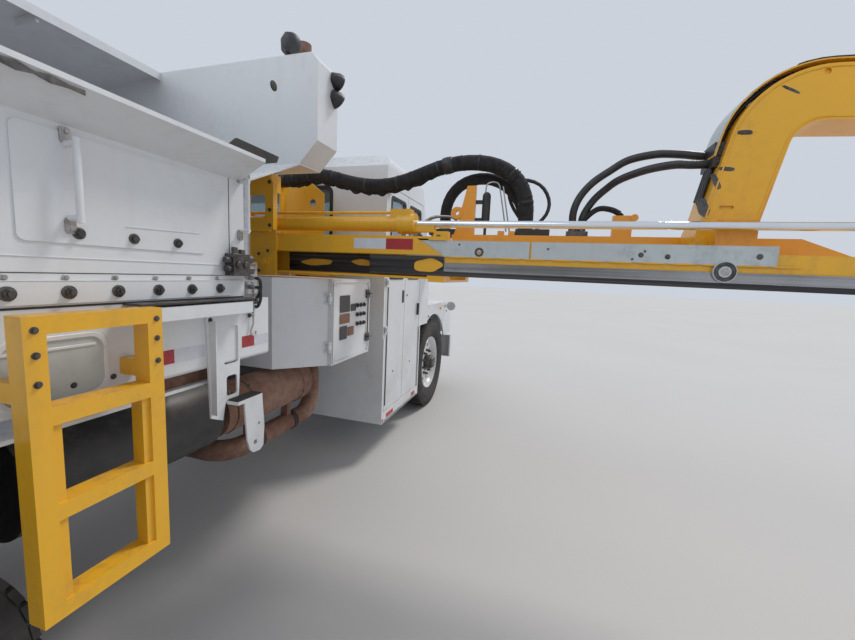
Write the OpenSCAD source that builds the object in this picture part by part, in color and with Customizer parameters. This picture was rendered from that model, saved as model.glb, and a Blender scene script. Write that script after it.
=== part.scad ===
// Side-loading refuse truck with its right-hand telescoping arm run out.
// Millimetres. x runs forward, y to the left, z up from the ground. The pieces are drawn from
// the front axle and the middle of the truck, and at_origin() moves them so that the origin is
// below the middle of the box round the whole truck.

/* [Running gear] */
// Front axle to the middle of the rear axle pair
wheelbase = 5050; // [4950:10:5400]
// Distance between the two rear axles
tandem = 1320; // [1250:10:1380]
// Outside diameter of a tyre
tyre_d = 1055; // [1000:5:1080]
// Width of a tyre
tyre_w = 280; // [260:2:290]
// Diameter of the rim at its flange
rim_d = 600; // [580:5:620]
// Middle of a front tyre from the middle of the truck
front_track = 1060; // [1050:2:1070]
// Steering pin from the middle of the truck
kingpin_y = 1000; // [990:2:1010]
// Middle of a rear pair of tyres from the middle of the truck
rear_track = 920; // [900:5:930]
// Distance between the two tyres of a pair
twin_gap = 330; // [316:2:340]

/* [Chassis] */
// Face of the front bumper ahead of the front axle
front_x = 1020; // [960:10:1100]
// Rearmost point of the tailgate behind the front axle
tail_x = -8150; // [-8300:10:-8000]
// Outside face of a frame rail from the middle of the truck
rail_y = 430; // [420:5:450]
// Height of a frame rail
rail_h = 280; // [250:5:300]
// Top of the frame rails above the ground
rail_top = 1020; // [1000:5:1040]
// Thickness of a frame rail's web and flanges
rail_t = 10; // [8:1:14]
// Width of a frame rail's flange
rail_flange = 85; // [70:5:100]

/* [Body] */
// Half the width of the body
half_w = 1220; // [1200:5:1250]
// Height of the refuse body's roof
roof_z = 3560; // [3400:10:3700]
// Underside of the body's floor
floor_z = 1120; // [1110:5:1140]
// Front corner of the hopper's side panel
hopper_front_x = -3190; // [-3240:5:-3150]
// Rear wall of the hopper
hopper_rear_x = -4750; // [-4900:10:-4700]
// Joint between the refuse body and the tailgate
gate_x = -7600; // [-7700:10:-7550]
// Top of the hopper's side panel on the arm's side
sill_z = 1960; // [1900:5:2000]
// Thickness of the body's sheet
sheet = 6; // [5:1:8]

/* [Arm] */
// Rear face of the boom's rear rail behind the front axle
boom_x = -2480; // [-2500:5:-2470]
// Width of the boom over both rails
boom_w = 700; // [690:5:710]
// Width of a first-stage rail
stage1_w = 120; // [110:2:130]
// Underside of the first-stage rails
boom_z = 1575; // [1570:1:1585]
// Height of the first-stage rails
stage1_h = 230; // [225:1:240]
// Thickness of the rails' plate
plate = 12; // [10:1:14]
// Space between a rail and the one it slides in
slide_gap = 8; // [7:1:9]
// Inner end of the fixed arm frame
frame_in = 1100; // [1000:10:1150]
// Outer end of the fixed arm frame
frame_out = -900; // [-950:5:-880]
// Inner end of the first stage, run out
stage1_in = -450; // [-500:5:-440]
// Outer end of the first stage, run out
stage1_out = -1950; // [-2000:5:-1930]
// Inner end of the second stage, run out
stage2_in = -1500; // [-1550:5:-1480]
// Outer end of the second stage, run out
stage2_out = -3780; // [-3850:5:-3760]
// Travel of the first stage
travel1 = 950; // [900:5:960]
// Travel of the second stage
travel2 = 1200; // [1150:5:1210]
// Middle of the slide cylinder above the ground
slide_cyl_z = 1875; // [1870:1:1885]
// Radius of the slide cylinder's barrel
barrel_r = 43; // [40:1:44]
// Radius of the slide cylinder's rod
slide_rod_r = 19; // [16:1:22]
// Lift arm's pivot from the middle of the truck
lift_y = -3280; // [-3300:5:-3260]
// Lift arm's pivot above the ground
lift_z = 1850; // [1845:5:1860]
// Width of the lift arm
neck_w = 220; // [210:2:224]
// Depth of the lift arm's box section
neck_h = 235; // [220:5:250]
// Radius of the crank that the lift cylinder turns
crank_r = 190; // [180:5:195]
// Pin that the lift arm turns on
lift_pin_r = 35; // [30:1:40]
// Space round a pin in its bore
pin_fit = 0.1; // [0.05:0.01:0.2]

/* [Gripper] */
// Middle of the gripper behind the front axle
grip_x = -3000; // [-3030:5:-2980]
// Distance between the finger pins
finger_gap = 760; // [740:5:800]
// Radius of a finger's curve
finger_r = 400; // [380:5:420]
// How far a finger stands open
finger_open = 38; // [30:1:45]

/* [Cab] */
// Rear wall of the cab
cab_rear = -1560; // [-1570:5:-1550]
// Front of the low entry box
entry_front = -590; // [-600:2:-580]
// Underside of the low entry box
entry_z = 305; // [290:5:330]
// Front of the cab at the foot of the windscreen
cowl_x = -300; // [-330:5:-280]
// Top of the cab's roof
cab_top = 2560; // [2500:10:2620]
// Thickness of the cab's panels
panel = 30; // [25:1:35]

/* [Hidden] */
$fn = 48;

tyre_r = tyre_d / 2;
axle_mid_x = tandem / 2 - wheelbase;
axle_rear_x = -tandem / 2 - wheelbase;
rail_bottom = rail_top - rail_h;

kingpin_r = 25;
tow_y = 345;
tow_z = 360;
tow_w = 40;
tow_bore_r = 25;
horn_z = 640;
hood_pin_x = front_x - 120;
hood_pin_z = 760;
hood_pin_r = 12;
hood_bottom = 790;
cab_floor = 1050;
boss_r = 50;
boss_h = 75;
hub_in = kingpin_y + boss_r + 12;

// Hopper and its shield wall
flare_y = -half_w - 130;
flare_z = 2020;
hood_z = 2730;
hood_edge_y = -165;
left_box_y = 330;
shield_x = -2610;
shield_t = 200;
shield_z = 2170;
shield_top = 2730;
slope_z = 1900;
skirt_top = 1460;
gate_pin_r = 15;
gate_pin_z = roof_z + 45;
rib_pitch = (hopper_rear_x - gate_x - 120) / 6;
skirt_rear_x = -4030;
skirt_front_x = -2960;
cabinet_rear = -2383;
cabinet_front = -1858;
cabinet_pin_x = cabinet_rear - 14;
cabinet_pin_y = -half_w + 8;
cabinet_hinges = [1120, 1425];
cabinet_z = 1000;
cabinet_top = 1545;
canister_rear = axle_mid_x + tyre_r + 90;
canister_front = -3010;
drum_front = -2450;
drum_y = -850;
drum_pipe_z = 700;
arch_r = 600;
screen_lean = atan(340 / 860);
stack_x = -1660;
stack_y = -500;

// Places across the boom
boom_front_x = boom_x + boom_w;
boom_mid_x = boom_x + boom_w / 2;
boom_top = boom_z + stage1_h;
stage2_w = stage1_w - 2 * plate - 2 * slide_gap;
stage2_z = boom_z + plate + slide_gap;
stage2_top = boom_top - plate - slide_gap;
cover_t = 8;
stage2_step = -3410;
gland_y = -1760;
barrel_in = gland_y + 130 + travel2 + 40;
leaf_mid = (cab_rear + entry_front) / 2 + 5;
hinge_r = 7;
hinge_levels = [1120, 1520, 2240];
door_hinge_levels = [1140, 1580];
belt_z = 1640;
entry_pin_x = cab_rear + 40;
entry_pin_y = -half_w - 4;
fold_pin_y = -half_w + 52;
door_pin_x = cowl_x - 120;
pad_gap = 0.3;
neck_x = boom_x + 225;
beam_x = neck_x + neck_w + 15;
beam_w = 80;
beam_top = 1865;
beam_out = stage2_out - 190;
beam_in = -1870;
lift_cyl_x = boom_x + 173;
lift_cyl_z = 1700;
lift_cyl_r = 38;
lift_rod_r = 20;
lift_turn = 110;
crank_start = 270 - lift_turn / 2;
eye_y = lift_y - crank_r * cos(crank_start);
lift_stroke = 2 * crank_r * sin(lift_turn / 2);

// Lift arm's middle line, from its pivot: away from the truck and up
neck_knee = [130, 640];
neck_shoulder = [950, 600];
neck_end = [1130, -640];

knee_r = 240;
shoulder_r = 320;
bend_steps = 14;

// Rollers, hopper panel, grille and lamps
roller_y = -2127;
roller_z = 1728;
panel_rear = -3860;
panel_front = -3310;
// x, lowest and highest point, and radius of each grab handle
grab_handles = [[-3747, 1700, 1910, 9], [-3135, 1742, 1952, 6]];
grille_y = 430;
lamp_y = 780;
lamp_z = 960;

// Hoses: the plane that each one lies in, its radius, and the y and z of its route
hose_sides = 10;
manifold_top = 1905;
bundle_x = -1900;
bundle_r = 48;
bundle_route = [
    [-474.3, 2266], [-560, 2266], [-640, 2276], [-735, 2290], [-865, 2285], [-1000, 2253], [-1134, 2222],
    [-1260, 2208], [-1380, 2212], [-1490, 2235], [-1600, 2270], [-1725, 2312], [-1860, 2338],
    [-2000, 2338], [-2120, 2310], [-2215, 2255], [-2280, 2175], [-2312, 2080], [-2318, 1990],
    [-2318, 1905.3]];
arch_x = -1808;
arch_hose_r = 38;
arch_route = [
    [-1765, 1905.3], [-1765, 1990], [-1770, 2070], [-1800, 2150], [-1860, 2215], [-1945, 2252],
    [-2040, 2258], [-2130, 2232], [-2205, 2180], [-2262, 2110], [-2295, 2030], [-2305, 1960],
    [-2305, 1905.3]];
loop_x = -1752;
loop_r = 12;
loop_route = [
    [-2300, 1905.3], [-2300, 1950], [-2275, 2000], [-2225, 2070], [-2192, 2145], [-2190, 2215], [-2240, 2252],
    [-2310, 2254], [-2385, 2225], [-2435, 2165], [-2455, 2095], [-2440, 2030], [-2405, 1985],
    [-2390, 1950], [-2390, 1905.3]];

// Gripper
grip_y = lift_y - neck_end[0];
grip_z = lift_z + neck_end[1];
grip_beam = 160;
finger_pin_r = 25;
finger_hub_r = 45;
finger_pin_y = grip_y - grip_beam / 2 - 75;
finger_h = 110;
finger_t = 45;
finger_sweep = 105;
finger_turn = 20;
finger_tip_r = finger_t / 2 + 4;
finger_steps = 20;

// Tip of an open finger, which is the part that reaches out farthest
function turned(p, a) = [p[0] * cos(a) - p[1] * sin(a), p[0] * sin(a) + p[1] * cos(a)];
finger_centre = -finger_r * [cos(finger_turn), sin(finger_turn)];
finger_tip_angle = finger_turn - finger_sweep;
finger_tip = finger_centre + finger_r * [cos(finger_tip_angle), sin(finger_tip_angle)];
reach_y = finger_pin_y + turned(finger_tip, finger_open)[1] - finger_tip_r;
mirror_out = half_w + 220;

module at_origin() {
    translate([-(front_x + tail_x) / 2, -(mirror_out + reach_y) / 2, 0]) children();
}

// Basic shapes in the truck's axes
module block(x0, x1, y0, y1, z0, z1) {
    translate([x0, y0, z0]) cube([x1 - x0, y1 - y0, z1 - z0]);
}
module rod_x(r, x0, x1, y, z) {
    translate([x0, y, z]) rotate([0, 90, 0]) cylinder(r = r, h = x1 - x0);
}
module rod_y(r, y0, y1, x, z) {
    translate([x, y1, z]) rotate([90, 0, 0]) cylinder(r = r, h = y1 - y0);
}
module rod_z(r, z0, z1, x, y) {
    translate([x, y, z0]) cylinder(r = r, h = z1 - z0);
}
// A side view outline of x and z, run across the truck from y0 to y1
module across(y0, y1) {
    translate([0, y1, 0]) rotate([90, 0, 0]) linear_extrude(y1 - y0) children();
}
// A front view outline of y and z, run along the truck from x0 to x1
module along(x0, x1) {
    translate([x0, 0, 0]) rotate([90, 0, 90]) linear_extrude(x1 - x0) children();
}
// A plan outline of x and y between two heights
module upright(z0, z1) {
    translate([0, 0, z0]) linear_extrude(z1 - z0) children();
}
// Points on an arc, from the angle a0 to a1
function arc(centre, r, a0, a1, steps) = [for (i = [0:steps])
    let (a = a0 + (a1 - a0) * i / steps) centre + r * [cos(a), sin(a)]];
// Outline of a rounded rectangle
function rounded(x0, x1, y0, y1, r) = concat(
    arc([x1 - r, y1 - r], r, 0, 90, 5), arc([x0 + r, y1 - r], r, 90, 180, 5),
    arc([x0 + r, y0 + r], r, 180, 270, 5), arc([x1 - r, y0 + r], r, 270, 360, 5));
module both_sides() {
    children();
    mirror([0, 1, 0]) children();
}

// Chassis

frame_rear = gate_x + 60;
frame_front = front_x - 260;
module chassis_frame() {
    front = frame_front;
    color("dimgray") at_origin() {
        both_sides() along(frame_rear, front) polygon([
            [rail_y, rail_bottom], [rail_y, rail_top], [rail_y - rail_flange, rail_top],
            [rail_y - rail_flange, rail_top - rail_t], [rail_y - rail_t, rail_top - rail_t],
            [rail_y - rail_t, rail_bottom + rail_t], [rail_y - rail_flange, rail_bottom + rail_t],
            [rail_y - rail_flange, rail_bottom]]);
        for (x = [cab_rear + 60, entry_front - 60]) both_sides()
            block(x, x + 80, rail_y - 80, rail_y, rail_top, cab_floor - pad_gap);
        both_sides() {
            block(front - 100, front, rail_y - rail_flange, rail_y, horn_z, rail_bottom);
            block(front, front_x - 12 - pad_gap, rail_y - rail_flange, rail_y, horn_z, 727);
            block(hood_pin_x - 12, hood_pin_x + 12, rail_y - 30, rail_y, 727, hood_pin_z + 12);
            rod_y(hood_pin_r, rail_y - 20, rail_y + 45, hood_pin_x, hood_pin_z);
        }
    }
}

// Channels between the two rails
module cross_members() {
    color("dimgray") at_origin()
        for (x = [frame_front - 60, -800, -1750, -2900, axle_mid_x + 500, -wheelbase,
            axle_rear_x - 500, frame_rear])
            across(-rail_y + rail_t, rail_y - rail_t) polygon([
                [x, rail_bottom + 60], [x + 60, rail_bottom + 60], [x + 60, rail_bottom + 70],
                [x + 10, rail_bottom + 70], [x + 10, rail_top - 70], [x + 60, rail_top - 70],
                [x + 60, rail_top - 60], [x, rail_top - 60]]);
}

module front_bumper() {
    color("white") at_origin() difference() {
        block(front_x - 90, front_x, -half_w + 20, half_w - 20, 420, 740);
        block(front_x - 91, front_x - 12, -half_w + 40, half_w - 40, 432, 728);
    }
}

module engine_block() {
    color("gray") at_origin() {
        block(-250, 540, -330, 330, 700, 1330);
        block(100, 200, -rail_y + rail_t, rail_y - rail_t, 760, 900);
    }
}

// Tow eyes below the front bumper, with a cross bore
module tow_eyes() {
    x = front_x - 45;
    color("black") at_origin() both_sides() difference() {
        union() {
            block(x - 90, x, tow_y, tow_y + tow_w, tow_z - 45, tow_z + 45);
            rod_y(45, tow_y, tow_y + tow_w, x, tow_z);
            block(x - 90, x - 50, tow_y, tow_y + tow_w, tow_z + 45, horn_z);
        }
        rod_y(tow_bore_r, tow_y - 1, tow_y + tow_w + 1, x, tow_z);
    }
}

module front_axle() {
    color("black") at_origin() difference() {
        union() {
            block(-55, 55, -kingpin_y + 40, kingpin_y - 40, tyre_r - 75, tyre_r + 15);
            both_sides() {
                rod_z(boss_r, tyre_r - boss_h, tyre_r + boss_h, 0, kingpin_y);
                block(-560, 600, rail_y + 10, rail_y + 85, tyre_r + 15, tyre_r + 55);
                block(-580, -520, rail_y, rail_y + 85, tyre_r + 15, rail_bottom + 80);
                block(560, 620, rail_y, rail_y + 85, tyre_r + 15, rail_bottom + 80);
            }
        }
        both_sides() rod_z(kingpin_r + pin_fit, 0, tyre_d, 0, kingpin_y);
    }
}

module rear_axles() {
    color("black") at_origin() {
        for (x = [axle_mid_x, axle_rear_x]) {
            rod_y(75, -rear_track + 230 + pad_gap, rear_track - 230 - pad_gap, x, tyre_r);
            translate([x, 0, tyre_r]) sphere(r = 200);
        }
        both_sides() {
            block(axle_rear_x, axle_mid_x, rail_y - 80, rail_y - 20, tyre_r - 50, tyre_r + 50);
            block(-wheelbase - 80, -wheelbase + 80, rail_y - 80, rail_y - 20, tyre_r, rail_bottom);
        }
    }
}

// Wheels

module tyre(y) {
    shoulder = 40;
    half = tyre_w / 2;
    translate([0, y, 0]) rotate([90, 0, 0]) rotate_extrude($fn = 96) polygon([
        [rim_d / 2, -half + 30], [rim_d / 2 + 90, -half], [tyre_r - shoulder, -half + 12],
        [tyre_r, -half + shoulder], [tyre_r, half - shoulder], [tyre_r - shoulder, half - 12],
        [rim_d / 2 + 90, half], [rim_d / 2, half - 30]]);
}
// Disc wheel: the rim's ring is centred on y, its disc lies at disc_y
module rim(y, disc_y) {
    half = tyre_w / 2 - 32;
    rim_r = rim_d / 2 - pad_gap;
    translate([0, y, 0]) rotate([90, 0, 0]) rotate_extrude($fn = 96)
        translate([rim_r - 30, -half]) square([30, 2 * half]);
    translate([0, disc_y, 0]) rotate([90, 0, 0]) difference() {
        cylinder(r = rim_r - 29, h = 14, center = true, $fn = 96);
        for (i = [0:9]) rotate([0, 0, 36 * i]) translate([215, 0, 0])
            cylinder(r = 24, h = 30, center = true);
    }
}
module front_wheel() {
    translate([0, 0, tyre_r]) {
        tyre(front_track);
        rim(front_track, front_track + 50);
        rod_y(130, hub_in + pad_gap, front_track + 50, 0, 0);
        rod_y(85, front_track + 50, front_track + tyre_w / 2, 0, 0);
    }
}
module front_wheel_left() {
    color("dimgray") at_origin() front_wheel();
}
module front_wheel_right() {
    color("dimgray") at_origin() mirror([0, 1, 0]) front_wheel();
}
module twin_wheels(x) {
    translate([x, 0, tyre_r]) {
        tyre(rear_track - twin_gap / 2);
        tyre(rear_track + twin_gap / 2);
        rim(rear_track - twin_gap / 2, rear_track - twin_gap / 2 + 90);
        rim(rear_track + twin_gap / 2, rear_track + twin_gap / 2 - 90);
        rod_y(130, rear_track - 230, rear_track + 150, 0, 0);
    }
}
module mid_wheels_left() {
    color("dimgray") at_origin() twin_wheels(axle_mid_x);
}
module mid_wheels_right() {
    color("dimgray") at_origin() mirror([0, 1, 0]) twin_wheels(axle_mid_x);
}
module rear_wheels_left() {
    color("dimgray") at_origin() twin_wheels(axle_rear_x);
}
module rear_wheels_right() {
    color("dimgray") at_origin() mirror([0, 1, 0]) twin_wheels(axle_rear_x);
}
// Knuckle: a fork over the boss of the axle, with the pin through it
module knuckle() {
    plate_y = kingpin_y + boss_r + 1;
    translate([0, 0, tyre_r]) {
        rod_z(kingpin_r, -boss_h - 36, boss_h + 36, 0, kingpin_y);
        block(-40, 40, kingpin_y - 45, hub_in, boss_h + 1, boss_h + 36);
        block(-40, 40, kingpin_y - 45, hub_in, -boss_h - 36, -boss_h - 1);
        block(-60, 60, plate_y, hub_in, -boss_h - 36, boss_h + 36);
    }
}
module knuckle_left() {
    color("black") at_origin() knuckle();
}
module knuckle_right() {
    color("black") at_origin() mirror([0, 1, 0]) knuckle();
}

// Body and hopper

module hopper_side() {
    color("white") at_origin() {
        difference() {
            block(hopper_rear_x, hopper_front_x, -half_w, -half_w + 40, skirt_top, sill_z);
            block(hopper_rear_x + 60, hopper_front_x - 60, -half_w + sheet, -half_w + 41,
                skirt_top + 60, sill_z - 60);
        }
        block(hopper_front_x, hopper_front_x + 80, -half_w, -half_w + 80, skirt_top, sill_z);
        across(-half_w - 4, -half_w + 1) polygon(rounded(panel_rear, panel_front, 1640, 1930, 18));
        block(hopper_rear_x, hopper_front_x, -half_w - 6, -half_w + 1, 1478, 1540);
        for (h = grab_handles) {
            rod_z(h[3], h[1] - 5, h[2] + 5, h[0], -half_w - 48);
            for (z = [h[1] + h[3], h[2] - h[3]]) rod_y(h[3], -half_w - 54, -half_w + 1, h[0], z);
        }
        along(hopper_rear_x, hopper_front_x + 60) polygon([
            [-half_w, sill_z - 10], [-half_w + sheet, sill_z + 4], [flare_y, flare_z + 14],
            [flare_y, flare_z]]);
    }
}

// Floor of the hopper and the closed box along its left side, with the hood over the hopper.
// Ahead of the hopper they run on above its sloping front, as far as the shield
module hopper_section() {
    difference() {
        polygon([
            [-half_w + 30, floor_z], [half_w, floor_z], [half_w, hood_z], [hood_edge_y, hood_z],
            [hood_edge_y, hood_z - 42], [hood_edge_y + 8, hood_z - 42],
            [hood_edge_y + 8, hood_z - 12], [left_box_y, hood_z - 60], [left_box_y, slope_z],
            [left_box_y + 60, floor_z + 40], [left_box_y, floor_z + 12],
            [-half_w + 30, floor_z + 12]]);
        translate([left_box_y + 70, floor_z + 60])
            square([half_w - left_box_y - 80, hood_z - floor_z - 90]);
    }
}
module hopper_left_wall() {
    color("white") at_origin() {
        along(hopper_rear_x, hopper_front_x) hopper_section();
        difference() {
            along(hopper_front_x - 1, shield_x) hopper_section();
            across(-half_w - 1, half_w + 1) polygon([
                [hopper_front_x - 2, 0], [hopper_front_x - 2, slope_z], [hopper_front_x, slope_z],
                [shield_x, shield_z], [shield_x + 1, shield_z], [shield_x + 1, 0]]);
        }
        for (x = [hopper_front_x, (hopper_front_x + hopper_rear_x) / 2]) across(hood_edge_y + 20, 0)
            polygon([[x - 6, hood_z - 60], [x - 6, hood_z], [x + 6, hood_z], [x + 6, hood_z - 60]]);
        both_sides() block(hopper_rear_x, hopper_front_x, rail_y - rail_flange, rail_y,
            rail_top, floor_z);
    }
}

module hopper_front() {
    color("white") at_origin() {
        across(-half_w + 80, half_w) polygon([
            [hopper_front_x, floor_z], [hopper_front_x, slope_z], [shield_x, shield_z],
            [shield_x, shield_top], [shield_x + shield_t, shield_top],
            [shield_x + shield_t, shield_z], [shield_x + sheet, shield_z - sheet],
            [hopper_front_x + sheet, slope_z - 5], [hopper_front_x + sheet, floor_z]]);
        along(shield_x, shield_x + shield_t) polygon([
            [-half_w + 81, shield_z], [-half_w - 30, shield_z + 116], [-half_w - 30, shield_top - 46],
            [-half_w + 10, shield_top], [-half_w + 81, shield_top]]);
    }
}

module refuse_body() {
    wall = 60;
    color("white") at_origin() {
        difference() {
            block(gate_x, hopper_rear_x, -half_w + wall, half_w - wall, floor_z, roof_z);
            block(gate_x - 1, hopper_rear_x - 60, -half_w + wall + sheet, half_w - wall - sheet,
                floor_z + 12, roof_z - sheet);
            block(hopper_rear_x - 61, hopper_rear_x + 1, -half_w + 80, left_box_y,
                floor_z + 12, 2100);
        }
        for (i = [0:6]) both_sides()
            block(gate_x + 20 + i * rib_pitch, gate_x + 100 + i * rib_pitch, half_w - wall, half_w,
                floor_z, roof_z);
        both_sides() block(gate_x, hopper_rear_x, half_w - wall, half_w, floor_z, floor_z + 80);
        both_sides() block(gate_x, hopper_rear_x, half_w - wall, half_w, roof_z - 80, roof_z);
        both_sides() {
            block(gate_x + 60, hopper_rear_x, rail_y - rail_flange, rail_y, rail_top, floor_z);
            rod_y(38, 500, 560, gate_x - 30, gate_pin_z);
            across(501, 559) polygon([
                [gate_x - 30, gate_pin_z - 36], [gate_x + 6, gate_pin_z - 36],
                [gate_x + 6, roof_z - sheet / 2], [gate_x + 110, roof_z - sheet / 2],
                [gate_x + 110, roof_z + 12], [gate_x - 20, gate_pin_z + 34],
                [gate_x - 30, gate_pin_z + 36]]);
            rod_y(gate_pin_r, 550, 640, gate_x - 30, gate_pin_z);
        }
    }
}

// Tailgate: a bulged shell, hung on the pin above the body's roof
module tailgate() {
    bottom = floor_z - 60;
    color("white") at_origin() {
        across(-half_w, half_w) difference() {
            gate_outline(0, bottom);
            gate_outline(sheet, bottom);
        }
        both_sides() across(half_w - sheet, half_w) gate_outline(0, bottom);
        both_sides() difference() {
            block(gate_x - 60, gate_x - 12, 570, 620, roof_z - 20, roof_z + 80);
            rod_y(gate_pin_r + pin_fit, 560, 630, gate_x - 30, gate_pin_z);
        }
    }
}
module gate_outline(inset, bottom) {
    polygon([
        [gate_x - 8 + 2 * inset, bottom + inset], [gate_x - 8 + 2 * inset, roof_z - inset],
        [gate_x - 260, roof_z - inset], [tail_x + inset, roof_z - 700], [tail_x + inset, 2000],
        [gate_x - 200, bottom + inset]]);
}

module packer() {
    color("gray") at_origin() across(-half_w + 60, left_box_y - 40) polygon([
        [hopper_front_x - 40, floor_z + 12 + pad_gap], [hopper_front_x - 40, 1700],
        [hopper_front_x - 160, 1760], [hopper_front_x - 420, 1500],
        [hopper_front_x - 420, floor_z + 12 + pad_gap]]);
}

module side_skirt() {
    color("white") at_origin() {
        block(hopper_rear_x, skirt_front_x, -half_w, -half_w + 30, 1207, skirt_top);
        rod_x(18, hopper_rear_x, skirt_front_x, -half_w + 18, 1207);
        along(-3589, -3150) polygon([
            [-half_w, 1400], [-half_w - 80, 1410], [-half_w - 80, 1455], [-half_w, 1460]]);
    }
}

module access_ladder() {
    bar = 45;
    y0 = -half_w - 125;
    color("gold") at_origin() {
        for (x = [-3925, -3635]) block(x, x + bar, y0, y0 + 60, 674, 1463);
        for (z = [674, 940, 1190, 1418]) block(-3925, -3590, y0, y0 + 60, z, z + bar);
        for (x = [-3925, -3635]) block(x, x + bar, y0 + 60, -half_w, 1250, 1300);
        for (x = [-3925 + bar, -3635 - 22]) block(x, x + 22, y0 + 8, y0 + 52, 674, 1210);
    }
}

// Column at the hopper's front corner, with two windows, and the step that hangs from it
module step_column() {
    y = -half_w - 8;
    color("white") at_origin() {
        across(y, -half_w) difference() {
            polygon([
                [-3320, 1400 - pad_gap], [-3305, 985], [-3246, 957], [-3230, 1030], [-3158, 1030],
                [-3138, 1400 - pad_gap]]);
            polygon(rounded(-3236, -3158, 1190, 1352, 14));
            polygon(rounded(-3224, -3166, 1052, 1140, 14));
        }
        block(-3304, -3298, y - 30, y + 1, 1000, 1380);
        block(-3226, -3083, y - 60, y + 1, 1022, 1036);
        across(y - 60, y - 52) difference() {
            polygon([
                [-3190, 1030], [-3186, 968], [-3176, 852], [-3160, 800], [-3141, 781],
                [-3100, 776], [-3078, 790], [-3071, 880], [-3083, 1030]]);
            translate([-3105, 905]) circle(r = 7);
            translate([-3128, 825]) circle(r = 11);
        }
    }
}

module control_cabinet() {
    y = -half_w;
    color("white") at_origin() difference() {
        upright(cabinet_z, cabinet_top) polygon([
            [cabinet_front, y + 30], [cabinet_rear, y + 30], [cabinet_rear - 230, y + 260],
            [cabinet_rear - 230, -rail_y], [cabinet_front, -rail_y]]);
        upright(cabinet_z + 20, cabinet_top - 20) polygon([
            [cabinet_front - 20, y + 29], [cabinet_rear + 20, y + 29],
            [cabinet_rear - 200, y + 270], [cabinet_rear - 200, -rail_y - 60],
            [cabinet_front - 20, -rail_y - 60]]);
    }
    color("white") at_origin() for (z = cabinet_hinges) {
        rod_z(hinge_r, z - 34, z + 34, cabinet_pin_x, cabinet_pin_y);
        for (e = [z - 34, z + 20])
            block(cabinet_pin_x - 6, cabinet_pin_x + 6, cabinet_pin_y - 6, cabinet_pin_y + 40, e, e + 14);
    }
}
module cabinet_door() {
    color("white") at_origin() {
        block(cabinet_rear, cabinet_front, -half_w, -half_w + 30 - 0.5, cabinet_z, cabinet_top);
        for (z = cabinet_hinges) barrel(cabinet_pin_x, cabinet_pin_y, z) union() {
            rod_z(hinge_r + 5, z - 14, z + 14, cabinet_pin_x, cabinet_pin_y);
            block(cabinet_pin_x, cabinet_rear + 1, cabinet_pin_y - 6, cabinet_pin_y + 6, z - 14, z + 14);
        }
    }
}

// Rubber sheet over the gap between the hopper's flare and the shield, and the flaps behind the
// rear wheels, hung from the body's floor
module rubber_flap() {
    y = -half_w - 36;
    x = axle_rear_x - tyre_r - 110;
    color("black") at_origin() {
        across(y, y + 12) polygon([
            [-3318, 1986], [-3318, 2041], [-3210, 2076], [-3179, 2105], [-2927, 2106],
            [-2941, 2076], [-3115, 2019], [-3135, 1986]]);
        both_sides() block(x, x + 10, rear_track - 300, half_w - 65, 230, floor_z - pad_gap);
    }
}

module air_canister() {
    color("black") at_origin() {
        rod_x(190, canister_rear, canister_front, -810, 860);
        for (x = [canister_rear + 200, canister_front - 240])
            block(x, x + 50, -700, -rail_y, 900, 960);
    }
}

// Quarter bend of a pipe, from the origin along x, turning to the left
module elbow(r, bend) {
    translate([0, bend, 0]) rotate(-90) rotate_extrude(angle = 90) translate([bend, 0])
        circle(r = r);
}
// Silencer drum, and the pipe that passes below it and rises to the stack
module exhaust_drums() {
    pipe = 58;
    bend = 130;
    up_x = -2050;
    low_z = drum_pipe_z - 140;
    high_z = 900;
    run = norm([stack_x - up_x, stack_y - drum_y]);
    turn = atan2(stack_y - drum_y, stack_x - up_x);
    color("saddlebrown") at_origin() {
        rod_x(135, -2960, -2230, drum_y, 835);
        for (x = [-2900, -2330]) rod_x(140, x, x + 40, drum_y, 835);
        block(-2800, -2750, drum_y, -rail_y, 900, 950);
        rod_y(pipe, drum_y + bend, -300, -2850, low_z);
        for (x = [-2700, -2360]) block(x, x + 40, drum_y - 25, drum_y + 25, low_z, 760);
        translate([-2850, drum_y + bend, low_z]) rotate(-90) elbow(pipe, bend);
        rod_x(pipe, -2850 + bend, up_x - bend, drum_y, low_z);
        translate([up_x - bend, drum_y, low_z]) rotate([90, 0, 0]) elbow(pipe, bend);
        rod_z(pipe, low_z + bend, high_z - bend, up_x, drum_y);
        translate([up_x, drum_y, high_z]) rotate([0, 0, turn]) {
            translate([0, 0, -bend]) rotate([-90, -90, 0]) elbow(pipe, bend);
            rod_x(pipe, bend, run - bend, 0, 0);
            translate([run - bend, 0, 0]) rotate([90, 0, 0]) elbow(pipe, bend);
        }
    }
}

module exhaust_stack() {
    color("saddlebrown") at_origin() {
        rod_z(58, 900 + 130, 3360, stack_x, stack_y);
        block(stack_x + 40, cab_rear, stack_y - 30, stack_y + 30, 2310, 2370);
    }
}

module fuel_tank() {
    color("silver") at_origin() {
        rod_x(300, -2700, -1600, rail_y + 340, 720);
        for (x = [-2500, -1850]) {
            block(x, x + 60, rail_y, rail_y + 300, 880, 940);
            rod_x(304, x, x + 60, rail_y + 340, 720);
        }
    }
}

module rear_bumper() {
    color("white") at_origin() block(gate_x - 60, gate_x + 60, -half_w + 60, half_w - 60, 620, 740);
}

module valve_block() {
    color("silver") at_origin() {
        block(-3110, -3020, -half_w + 10, -half_w + 90, 1480, 1620);
        rod_z(24, 1620, 2000, -3065, -half_w + 38);
    }
}

module fender_mirror() {
    color("silver") at_origin() {
        rod_x(58, 528, 552, -half_w - 62, 1195);
        rod_x(50, 548, 560, -half_w - 62, 1195);
        rod_y(9, -half_w - 40, -half_w + 20 - pad_gap, 540, 1195);
        rod_y(24, -half_w + 12, -half_w + 20 - pad_gap, 540, 1195);
    }
}

// Cab

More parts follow.
